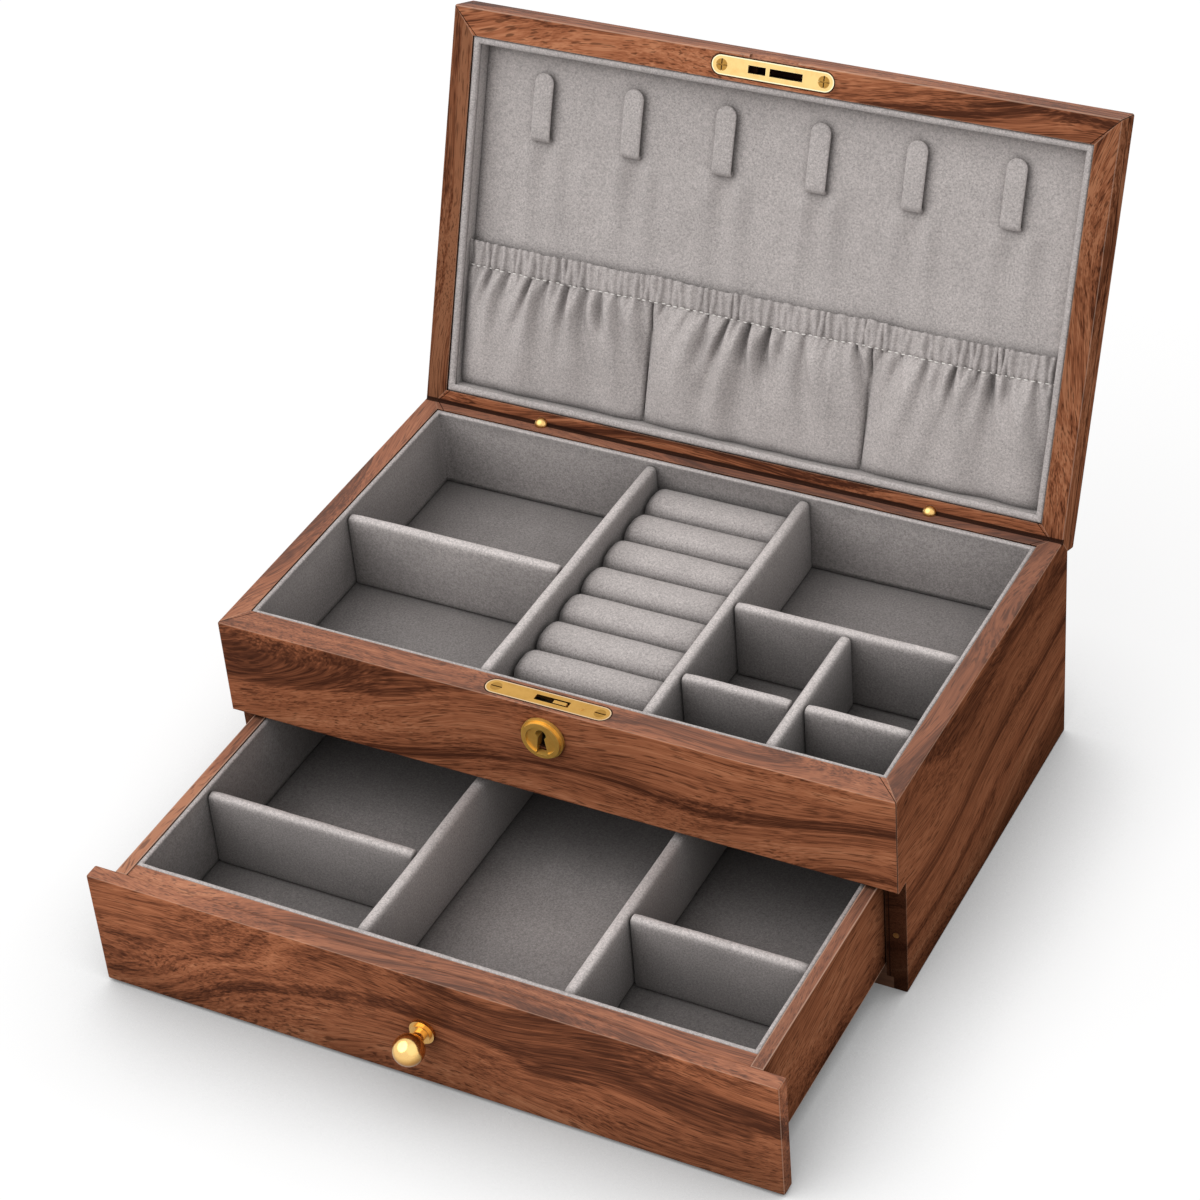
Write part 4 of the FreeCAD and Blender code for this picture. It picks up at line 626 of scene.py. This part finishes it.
def capped_tube(rings):
    """A tube through the rings of points, with a flat face on either end."""
    rows, around = len(rings), len(rings[0])
    faces = loop_faces(rows, around)
    faces += [[row * around + k for k in range(around)] for row in (0, rows - 1)]
    return np.concatenate(rings), faces


def grid_faces(across, along):
    """Quads of a grid with `across` lines of `along` points each."""
    starts = [i * along + j for i in range(across - 1) for j in range(along - 1)]
    return [[a, a + along, a + along + 1, a + 1] for a in starts]


def add_object(name, data):
    thing = bpy.data.objects.new(name, data)
    bpy.context.scene.collection.objects.link(thing)
    return thing


def make(name, shell, material, body, replaces=()):
    """A piece of the scene. On the lid its points are in the lid's own frame."""
    points, faces = shell
    if body == "lid":
        points = points @ LID_TURN.T + LID_PIVOT
    mesh = bpy.data.meshes.new(name)
    mesh.from_pydata((points * MM).tolist(), [], faces)
    bm = bmesh.new()
    bm.from_mesh(mesh)
    bmesh.ops.recalc_face_normals(bm, faces=bm.faces)
    bm.to_mesh(mesh)
    bm.free()
    mesh.polygons.foreach_set("use_smooth", [True] * len(mesh.polygons))
    mesh.materials.append(material)
    piece = add_object(name, mesh)
    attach(piece, body)
    if replaces:
        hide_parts(*replaces)
    return piece


def make_suede(node, shell, material, body):
    """The padded suede piece that replaces one lining node."""
    make(node + "_suede", shell, material, body, [node])


# ---- linings

LINING_STEP = 4.0       # between the sections of a wall lining
RIM_PROUD = 0.45        # how far the suede rolls over its card's edge
WALL_THICK = 2.0        # of the tray's and the drawer's wall linings
LID_WALL_THICK = 3.1    # the lid's is drawn fuller than its card
DIVIDER_SINK = 0.7      # how far a divider goes into the padded floor
DIVIDER_END, DIVIDER_TOP, DIVIDER_SIDE = 0.9, 2.3, 2.35     # its edges' radii


def lining_section(foot, top, rise, thick, bead):
    """A wall lining's section: depths from the wall, and heights, with a full rolled rim."""
    back, front = 0.02, thick - 0.05
    section = [(thick, foot), (back, foot)]
    section += [(back, foot + (top - foot) * k) for k in (0.2, 0.4, 0.6, 0.8)]
    for angle in np.linspace(0, math.pi, 11):
        section.append((thick / 2 + 0.06 - bead * math.cos(angle) * 0.98,
                        top - rise * bead * 0.80 * (1 - math.sin(angle) ** 0.8)))
    section.append((thick - 0.12, top - rise * bead * 1.7))
    section += [(front, foot + (top - foot) * k) for k in (0.8, 0.6, 0.4, 0.2, 0.05)]
    return np.array(section)


def lining_ring(extremes, thick, seed, rise=1):
    """The wall lining: one padded card all round, mitred at its corners.

    `extremes` are its low and high corners. Its rim is at the high end of Z, or with a `rise`
    of -1 at the low end.
    """
    low, high = extremes
    foot, top = (low[2], high[2]) if rise > 0 else (high[2], low[2])
    top += rise * RIM_PROUD
    bead = thick / 2 + 0.12
    section = lining_section(foot, top, rise, thick, bead)
    depth, level = section.T
    corners = [(low[0], low[1]), (high[0], low[1]), (high[0], high[1]), (low[0], high[1])]
    inward = [(1, 1), (-1, 1), (-1, -1), (1, -1)]
    rings = []
    for side in range(4):
        after = (side + 1) % 4
        (ax, ay), (bx, by) = corners[side], corners[after]
        (aix, aiy), (bix, biy) = inward[side], inward[after]
        count = int(max(abs(bx - ax), abs(by - ay)) / LINING_STEP)
        for s in np.linspace(0, 1, count, endpoint=False):
            x = (ax + aix * depth) * (1 - s) + (bx + bix * depth) * s
            y = (ay + aiy * depth) * (1 - s) + (by + biy * depth) * s
            rings.append(np.stack([x, y, level], 1))
    rows = len(rings)
    points = np.concatenate(rings)
    centre = (low + high) / 2
    inner = np.tile(depth > thick * 0.45, rows)
    soft = waves(points, 16, seed) * 0.10 + waves(points, 6, seed + 1) * 0.05
    for k in range(2):
        points[:, k] += np.where(inner, soft * np.sign(centre[k] - points[:, k]) * 0.7, 0)
    rim = np.tile(np.abs(level - top) < bead, rows)
    points[:, 2] += np.where(rim, rise * soft * 0.8, 0)
    return points, loop_faces(rows, len(section), closed_rows=True)


def clearance(points, low, high, blocks=()):
    """How far each point is from the nearest wall or divider, seen along Z."""
    x, y = points[:, 0], points[:, 1]
    away = np.minimum.reduce([x - low[0], high[0] - x, y - low[1], high[1] - y])
    for near, far in blocks:
        dx = np.maximum.reduce([near[0] - x, np.zeros_like(x), x - far[0]])
        dy = np.maximum.reduce([near[1] - y, np.zeros_like(y), y - far[1]])
        away = np.minimum(away, np.hypot(dx, dy))
    return np.maximum(away, 0)


def floor_pad(node, blocks, seed):
    """A padded floor that dips along the foot of every wall and divider."""
    low, high = box(node)
    points, faces = soft_block(low, high, (0.5, 0.5, 0.5), step=1.6)
    away = clearance(points, low[:2] + WALL_THICK, high[:2] - WALL_THICK, blocks)
    top = points[:, 2] > (low[2] + high[2]) / 2
    lift = -0.75 * np.exp(-away / 0.9) + 0.22 * (1 - np.exp(-away / 9)) - 0.1
    lift += waves(points, 22, seed) * 0.09 + waves(points, 8, seed + 1) * 0.05
    points[:, 2] += np.where(top, lift, 0)
    return points, faces


def divider(node, seed):
    """A card wrapped in suede: round along its top, tucked in where its ends meet a wall."""
    low, high = box(node)
    along = 0 if high[0] - low[0] > high[1] - low[1] else 1
    thick = 1 - along
    low[2] -= DIVIDER_SINK
    radii = np.array([DIVIDER_END, DIVIDER_END, DIVIDER_TOP])
    radii[thick] = DIVIDER_SIDE
    points, faces = soft_block(low, high, radii, step=3.2)
    middle = (low + high) / 2
    ends = np.minimum(points[:, along] - low[along], high[along] - points[:, along])
    pinch = np.exp(-np.maximum(ends, 0) / 1.6)
    height = (points[:, 2] - low[2]) / (high[2] - low[2])
    side = points[:, thick] - middle[thick]
    side *= 0.95 - 0.10 * pinch + 0.03 * np.sin(height * math.pi)
    side += waves(points, 20, seed) * 0.12
    points[:, thick] = middle[thick] + side
    crest = np.clip((height - 0.8) / 0.2, 0, 1)
    points[:, 2] += crest * (waves(points, 14, seed + 1) * 0.12 - 0.45 * pinch)
    return points, faces


TRAY_DIVIDERS = ("left_column_divider", "right_column_divider", "left_cross_divider",
                 "right_cross_divider", "grid_long_divider", "grid_cross_divider_left",
                 "grid_cross_divider_right")
DRAWER_DIVIDERS = ("drawer_left_divider", "drawer_right_divider", "drawer_left_cross_divider",
                   "drawer_right_cross_divider")
for body, names, walls, floor in (
        ("carcass", TRAY_DIVIDERS, "tray_wall_lining", "tray_floor_lining"),
        ("drawer", DRAWER_DIVIDERS, "drawer_wall_lining", "drawer_floor_lining")):
    seed = len(names) * 10
    make_suede(walls, lining_ring(box(walls), WALL_THICK, seed), CLOTH, body)
    pad = floor_pad(floor, [box(name) for name in names], seed + 3)
    make_suede(floor, pad, CLOTH_FLOOR_SHADED, body)
    for k, name in enumerate(names):
        make_suede(name, divider(name, seed + 5 + 2 * k), CLOTH_CARD, body)


# ---- ring insert

ROLL_COUNT = 7
ROLL_DOME = 5.5         # the length of a roll's rounded end
ROLL_AROUND = 40        # points round a roll
ROLL_POWER = 2 / 2.7    # the power that makes a roll's section a little square
BLOCK_LENGTH = 13.4     # of the block in front of the first roll
BED_TOP = 74.7          # the height of the bed under the rolls
BED_SINK = 0.4          # how far the bed goes into the padded floor


def ring_roll(node, seed):
    """A stuffed tube with rounded, gathered ends."""
    low, high = box(node)
    middle, radius = (low + high) / 2, (high[2] - low[2]) / 2
    length = high[0] - low[0]
    turn = np.linspace(0, QUARTER, 12)[1:]
    ends = ROLL_DOME * (1 - np.cos(turn))
    straight = np.linspace(ROLL_DOME, length - ROLL_DOME, 18)[1:-1]
    where = np.concatenate([ends, straight, length - ends[::-1]])
    sizes = np.concatenate([np.sin(turn), np.ones(straight.size), np.sin(turn)[::-1]])
    across, up = squared_ring(ROLL_AROUND, ROLL_POWER, ROLL_POWER)
    rings = []
    for x, size in zip(where, sizes):
        reach = radius - (1 - size) * ROLL_DOME
        rings.append(np.stack([np.full(ROLL_AROUND, low[0] + x), middle[1] + across * reach,
                               middle[2] + up * reach], 1))
    points = np.concatenate(rings)
    out = points[:, 1:] - middle[1:]
    swell = 1 + 0.010 * waves(points, 18, seed) + 0.006 * waves(points, 7, seed + 1)
    near_end = np.minimum(points[:, 0] - low[0], high[0] - points[:, 0])
    folds = np.sin(np.arctan2(out[:, 1], out[:, 0]) * 11 + seed) * np.exp(-near_end / 2.2)
    swell += 0.035 * folds
    points[:, 1:] = middle[1:] + out * swell[:, None] * 0.995
    tips = np.array([[low[0] + 0.5, *middle[1:]], [high[0] - 0.5, *middle[1:]]])
    first, last = len(points), len(points) + 1
    last_ring = len(points) - ROLL_AROUND
    faces = loop_faces(len(rings), ROLL_AROUND)
    for k in range(ROLL_AROUND):
        m = (k + 1) % ROLL_AROUND
        faces += [[first, m, k], [last, last_ring + k, last_ring + m]]
    return np.concatenate([points, tips]), faces


def insert_base():
    """The bed under the rolls, and the block in front of them."""
    low, high = box("ring_insert_base")
    bed = soft_block(low - (0, 0, BED_SINK), (*high[:2], BED_TOP), (1.5, 1.5, 1.5), step=4.0)
    block = soft_block(low, (high[0], low[1] + BLOCK_LENGTH, high[2]), (2.5, 2.5, 3.0), step=3.0)
    for (points, _), seed in ((bed, 150), (block, 152)):
        upper = points[:, 2] > low[2] + 3
        points[:, 2] += np.where(upper, waves(points, 15, seed) * 0.25, 0)
    return joined([bed, block])


for k in range(1, ROLL_COUNT + 1):
    node = f"ring_roll_{k}"
    make_suede(node, ring_roll(node, 100 + 3 * k), CLOTH, "carcass")
make_suede("ring_insert_base", insert_base(), CLOTH, "carcass")


# ---- lid

TAB_LOW, TAB_HIGH = lid_box("necklace_tabs")
PAD_LOW, PAD_HIGH = lid_box("lid_back_pad")
POCKET_LOW, POCKET_HIGH = lid_box("elastic_pocket")
TAB_COUNT = 6
TAB_WIDTH = 10.0        # of a solid tab
TAB_HALF = TAB_WIDTH * 0.45
TAB_THICK = 0.8         # half the strip's thickness
TAB_AROUND = 20         # points round the strip
TAB_PITCH = (TAB_HIGH[0] - TAB_LOW[0] - TAB_WIDTH) / (TAB_COUNT - 1)
TAB_X = [(k - (TAB_COUNT - 1) / 2) * TAB_PITCH for k in range(TAB_COUNT)]

# The folds below each tab: how far beside its middle, how high or deep, and how wide
TAB_FOLDS = ((-6.0, 3.3, 3.0), (1.0, -2.2, 2.8), (7.0, 3.5, 3.0), (13.5, -1.4, 4.0))
TAB_FOLD_FADE = 27


def lid_pad():
    """The lid's back pad, with soft folds that hang from each tab and fade."""
    points, faces = soft_block(PAD_LOW, PAD_HIGH, (0.6, 0.6, 0.6), step=2.4)
    x, y = points[:, 0], points[:, 1]
    face = points[:, 2] < (PAD_LOW[2] + PAD_HIGH[2]) / 2
    rng = np.random.default_rng(31)
    puff = waves(points * (1.0, 0.35, 1), 20, 210) * 0.16
    start = TAB_HIGH[1] - 3
    below = np.maximum(y - start, 0)
    fade = np.clip((y - start) / 10, 0, 1) * np.exp(-below / TAB_FOLD_FADE)
    for centre in TAB_X:
        for side, size, width in TAB_FOLDS:
            lean = side * (1 + below * 0.006) + rng.uniform(-0.8, 0.8)
            puff += size * fade * bell(x - centre - lean, width) * rng.uniform(0.75, 1.2)
        puff -= 0.5 * bell(x - centre, 7.5) * bell(y - TAB_HIGH[1], 3.0)
    edge = clearance(points, PAD_LOW, PAD_HIGH) - 2
    puff = puff * np.clip(edge / 6, 0, 1) - 0.7 * np.exp(-np.maximum(edge, 0) / 1.6)
    points[:, 2] -= np.where(face, puff + 0.15, 0)
    return points, faces


def tab(centre, seed):
    """A folded strip whose rounded end stands free and whose foot turns into the pad."""
    z_flap = TAB_LOW[2] + TAB_THICK
    bend = (PAD_LOW[2] - z_flap) / 2 + 0.5
    y_end, y_bend = TAB_LOW[1], TAB_HIGH[1] - TAB_THICK - bend
    rounded = TAB_HALF * (1 - np.cos(np.linspace(0.18, QUARTER, 8)))
    straight = np.linspace(TAB_HALF, y_bend - y_end, 9)[1:]
    path = [(y_end + s, z_flap, 0.0) for s in np.concatenate([rounded, straight])]
    for angle in np.linspace(0, math.pi, 9)[1:]:
        path.append((y_bend + bend * math.sin(angle), z_flap + bend * (1 - math.cos(angle)),
                     angle))
    across, out = squared_ring(TAB_AROUND, 0.45, 0.8)
    rings = []
    for y, z, angle in path:
        far = max(0.0, TAB_HALF - (y - y_end)) if angle == 0 else 0.0
        width = max(math.sqrt(max(TAB_HALF ** 2 - far ** 2, 0)), 0.6)
        flat = TAB_THICK * (0.72 if far > TAB_HALF * 0.8 else 1.0)
        rings.append(np.stack([centre + across * width, y + out * flat * math.sin(angle),
                               z - out * flat * math.cos(angle)], 1))
    points, faces = capped_tube(rings)
    lift = (TAB_HIGH[1] - points[:, 1]) / (TAB_HIGH[1] - TAB_LOW[1])
    points[:, 2] += waves(points, 12, seed) * 0.12 - 0.35 * np.sin(lift * math.pi)
    return points, faces


make_suede("lid_wall_lining",
           lining_ring(lid_box("lid_wall_lining"), LID_WALL_THICK, 200, rise=-1),
           CLOTH_LID, "lid")
make_suede("lid_back_pad", lid_pad(), CLOTH_LID, "lid")
make_suede("necklace_tabs", joined([tab(x, 220 + k) for k, x in enumerate(TAB_X)]),
           CLOTH_LID, "lid")


# ---- pocket

HEM = 11.0              # from the pocket's upper edge down to its sewn line
SEAMS = (-47.0, 55.0)   # the lines that divide its bays, along X
BAYS = list(zip((POCKET_LOW[0], *SEAMS), (*SEAMS, POCKET_HIGH[0])))
POCKET_DEPTH = POCKET_HIGH[1] - POCKET_LOW[1]
POCKET_BACK = POCKET_LOW[2] + 1.5       # where the cloth is when nothing puffs it out
CLOTH_THICK = 0.9

STITCH_PITCH = 3.0
STITCH_LENGTH = 2.0
STITCH_RADIUS = 0.34
STITCH_RAISE = 0.80     # how far a stitch stands out from the cloth
STITCH_POINTS = 6       # along a stitch, and round it


def pleats(seed, start, end, gap, width, size):
    """Folds across the pocket: where each is, its half width and its height."""
    rng = np.random.default_rng(seed)
    rows = []
    at = start
    while at < end:
        rows.append((at, rng.uniform(*width), rng.uniform(*size)))
        at += rng.uniform(*gap)
    return rows


GATHERS = pleats(71, POCKET_LOW[0], POCKET_HIGH[0], gap=(2.2, 4.8), width=(0.8, 1.6),
                 size=(0.9, 2.1))
FOLDS = [pleats(80 + k, start + 6, end - 4, gap=(6.5, 12.5), width=(1.4, 2.2), size=(3.0, 5.2))
         for k, (start, end) in enumerate(BAYS)]
BROAD = [pleats(60 + k, start + 12, end - 9, gap=(15.0, 22.0), width=(3.6, 5.4),
                size=(2.6, 4.2)) for k, (start, end) in enumerate(BAYS)]


def narrow_folds(x, below, k):
    """Bay k's narrow valleys between low ridges, which start at the sewn line and fade."""
    start, end = BAYS[k]
    rng = np.random.default_rng(90 + k)
    for at, width, depth in FOLDS[k]:
        middle = 1 - abs(2 * at - start - end) / (end - start)
        reach = rng.uniform(28, 56) * (0.55 + 0.6 * middle)
        lean = (at - (start + end) / 2) * 0.006 + rng.uniform(-0.05, 0.05)
        line = at + lean * below + rng.uniform(0.4, 1.2) * np.sin(below / 9 + at)
        grow = width * (0.8 + below / 15)
        deep = depth * (0.45 + 0.65 * middle) * np.exp(-(below / reach) ** 1.3)
        ridge = bell(x - line - 1.7 * grow, grow) + bell(x - line + 1.7 * grow, grow)
        yield deep * (0.36 * ridge - bell(x - line, grow))


def broad_folds(x, below, arch, k):
    """Bay k's broad soft valleys, deepest in the upper half of the bag."""
    start, end = BAYS[k]
    for at, width, depth in BROAD[k]:
        lean = (at - (start + end) / 2) * 0.008
        line = at + lean * below + 1.5 * np.sin(below / 14 + at)
        soft = depth * (1 - np.exp(-below / 6)) * np.exp(-(below / 42) ** 2)
        across = bell(x - line, width * (0.8 + below / 60))
        yield soft * (0.35 - across) * np.clip(arch * 2.2, 0, 1)


def hem_gathers(x, down):
    """The small ridges that the elastic draws up."""
    gathers = np.zeros_like(x)
    for at, width, size in GATHERS:
        near = np.abs(x - at) < 4 * width
        gathers[near] += size * bell(x[near] - at - 0.35 * np.sin(down[near] / 2.4 + at), width)
    return gathers


def pocket_shape(x, down):
    """How far down the lid the pocket's cloth sags, and how far out it stands."""
    below = np.maximum(down - HEM, 0)
    share = below / (POCKET_DEPTH - HEM)
    out, sag, folds = np.zeros_like(x), np.zeros_like(x), np.zeros_like(x)
    for k, (start, end) in enumerate(BAYS):
        inside = (x >= start) & (x <= end)
        arch = np.sin(np.clip((x - start) / (end - start), 0, 1) * math.pi)
        belly = arch ** 0.5 * (0.6 + 2.9 * np.sin(share ** 0.75 * math.pi) ** 0.8)
        out += np.where(inside, belly, 0)
        sag += np.where(inside, 0.5 * arch, 0)
        for fold in (*narrow_folds(x, below, k), *broad_folds(x, below, arch, k)):
            folds += np.where(inside, fold, 0)
    gathers = hem_gathers(x, down)
    hem = np.clip((HEM + 1.0 - down) / 1.4, 0, 1)
    out += 0.95 * gathers * (hem + (1 - hem) * np.exp(-below / 3.5))
    out += folds * (1 - hem) * (1 - 0.45 * np.exp(-below / 3.0))
    out -= 0.35 * bell(down - HEM, 0.9)
    for seam in SEAMS:
        out -= (1 - hem) * (1.8 * bell(x - seam, 0.9) + 0.8 * bell(x - seam, 4.0))
    sides = np.minimum(x - POCKET_LOW[0], POCKET_HIGH[0] - x)
    out -= 1.3 * np.exp(-np.maximum(sides, 0) / 1.5)
    out -= 1.6 * np.clip((down - POCKET_DEPTH + 5) / 5, 0, 1) ** 2
    line = np.stack([x, np.zeros_like(x), np.zeros_like(x)], 1)
    edge = (0.4 - 0.55 * gathers + 0.35 * waves(line, 14, 303)) * np.clip(1 - down / 4, 0, 1)
    return sag * (1 - share) + edge, np.maximum(out, -2.4)


def pocket():
    """The pocket's cloth as a grid, finer about its sewn line."""
    x = np.linspace(POCKET_LOW[0], POCKET_HIGH[0], 760)
    down = np.concatenate([np.linspace(0, HEM - 1.6, 9), np.linspace(HEM - 1.2, HEM + 1.2, 7),
                           np.linspace(HEM + 2, POCKET_DEPTH, 34)])
    grid_x, grid_down = (g.ravel() for g in np.meshgrid(x, down, indexing="ij"))
    sag, out = pocket_shape(grid_x, grid_down)
    y = np.minimum(POCKET_LOW[1] + grid_down + sag, POCKET_HIGH[1])
    return np.stack([grid_x, y, POCKET_BACK - out], 1), grid_faces(len(x), len(down))


def stitch(start):
    """One short pale stitch, from `start` along the pocket's sewn line."""
    turn = full_turn(STITCH_POINTS)
    along = np.linspace(0, STITCH_LENGTH, STITCH_POINTS)
    taper = np.sqrt(np.clip(1 - (2 * along / STITCH_LENGTH - 1) ** 4, 0.05, 1))
    _, outs = pocket_shape(start + along, np.full(STITCH_POINTS, HEM))
    (sag,), (mid_out,) = pocket_shape(np.array([start + STITCH_LENGTH / 2]), np.array([HEM]))
    rings = []
    for x, out, radius in zip(start + along, outs, STITCH_RADIUS * taper):
        height = 0.35 * out + 0.65 * mid_out
        y = POCKET_LOW[1] + HEM + sag + np.cos(turn) * radius
        z = POCKET_BACK - height - STITCH_RAISE + np.sin(turn) * radius
        rings.append(np.stack([np.full(STITCH_POINTS, x), y, z], 1))
    return capped_tube(rings)


def stitches():
    """The whole row of them."""
    shells = []
    x = POCKET_LOW[0] + 2.0
    while x < POCKET_HIGH[0] - 2:
        shells.append(stitch(x))
        x += STITCH_PITCH
    return joined(shells)


cloth = make("elastic_pocket_cloth", pocket(), CLOTH_POCKET, "lid",
             ["elastic_pocket"])
solid = cloth.modifiers.new("thickness", "SOLIDIFY")
solid.thickness = CLOTH_THICK * MM
solid.offset = 0

thread_piece = make("pocket_stitches", stitches(), STITCH, "lid")


# ---- hinge knuckles

KNUCKLE = 3.05          # the radius of a brass ball
KNUCKLE_AROUND = 32     # points round it
POLE = 0.12             # how far from its poles its first and last rings are, in radians
KNUCKLE_INSET = 3.0     # from the ends of the hinges' barrels


def knuckle(x):
    """A brass ball on the hinge line, a little slimmer across the line than along it."""
    turn = full_turn(KNUCKLE_AROUND)
    rings = []
    for angle in np.linspace(POLE, math.pi - POLE, 21):
        along, radius = -KNUCKLE * math.cos(angle), KNUCKLE * math.sin(angle) * 0.98
        rings.append(np.stack([np.full(KNUCKLE_AROUND, x + along),
                               LID_PIVOT[1] + radius * np.cos(turn),
                               LID_PIVOT[2] + radius * np.sin(turn)], 1))
    return capped_tube(rings)


low, high = box("hinge_carcass_barrels")
HINGE_X = (high[0] - low[0]) / 2 - KNUCKLE_INSET
make("hinge_knuckles", joined([knuckle(side * HINGE_X) for side in (-1, 1)]),
     METAL["hinge_carcass_barrels"], "carcass")


# ---- camera, floor and light

# The camera's place in metres, and its image's right, down and forward directions
CAMERA_AT = (0.52301, -0.94545, 0.91066)
RIGHT = (0.889932, 0.450522, -0.071066)
DOWN = (0.222364, -0.564621, -0.794832)
AHEAD = (-0.398215, 0.691544, -0.602654)
SENSOR_MM, LENS_MM = 36, 98.74

camera = add_object("camera", bpy.data.cameras.new("camera"))
camera.data.sensor_width = SENSOR_MM
camera.data.lens = LENS_MM
camera.data.clip_end = 30
turned = Matrix((RIGHT, [-v for v in DOWN], [-v for v in AHEAD])).transposed()
camera.matrix_world = Matrix.Translation(CAMERA_AT) @ turned.to_4x4()
bpy.context.scene.camera = camera

# The floor is one grey to the rays that light the box and a darker one to those that are seen,
# to which a glow adds the rest. It brings the paper to white, and its glow is dimmed close to
# the box, a painted contact shadow.
FLOOR_REACH = 8.0       # metres
LIT_GREY, SEEN_GREY = 0.56, 0.22
CONTACT_METRES = 0.075
CONTACT_GLOW = {"From Min": 0.30, "From Max": 0.93, "To Min": 0.10, "To Max": 0.81}

floor_mesh = bpy.data.meshes.new("studio_floor")
corners = [(x * FLOOR_REACH, y * FLOOR_REACH, 0) for x, y in ((-1, -1), (1, -1), (1, 1), (-1, 1))]
floor_mesh.from_pydata(corners, [], [(0, 1, 2, 3)])
paper = bpy.data.materials.new("studio_paper")
tree = Tree(paper)
seen = tree.sees_background()
grey = tree.math("SUBTRACT", LIT_GREY, tree.math("MULTIPLY", seen, LIT_GREY - SEEN_GREY))
matte = tree.add("BsdfDiffuse", {"Color": grey})
sky = tree.open_sky(CONTACT_METRES, samples=8)
# Painted contact shadow: the glow is dimmer where the box is near
painted_contact_shadow = tree.add("MapRange", {"Value": sky, **CONTACT_GLOW})
glow = tree.add("Emission", {"Strength": tree.math("MULTIPLY", seen, painted_contact_shadow.outputs[0])})
both = tree.add("AddShader", {0: matte.outputs[0], 1: glow.outputs[0]})
tree.add("OutputMaterial", {0: both.outputs[0]})
floor_mesh.materials.append(paper)
add_object("studio_floor", floor_mesh)

WORLD_LIGHT, WORLD_SEEN = 0.50, 1.0      # strengths
world = bpy.data.worlds.new("studio")
bpy.context.scene.world = world
tree = Tree(world)
light, white = (tree.add("Background", {"Color": (1, 1, 1, 1), "Strength": strength}).outputs[0]
                for strength in (WORLD_LIGHT, WORLD_SEEN))
choose = tree.add("MixShader", {0: tree.sees_background(), 1: light, 2: white})
tree.add("OutputWorld", {0: choose.outputs[0]})

# Each lamp's direction, strength and width in degrees
SUNS = {"key_sun": ((-0.44, -0.48, 0.76), 1.72, 70),
        "fill_sun": ((0.78, -0.32, 0.54), 0.30, 80)}
for name, (toward, strength, spread) in SUNS.items():
    lamp = bpy.data.lights.new(name, "SUN")
    lamp.energy = strength
    lamp.angle = math.radians(spread)
    sun = add_object(name, lamp)
    sun.rotation_mode = "QUATERNION"
    sun.rotation_quaternion = Vector(toward).to_track_quat("Z", "Y")

bpy.context.scene.view_settings.view_transform = "Standard"
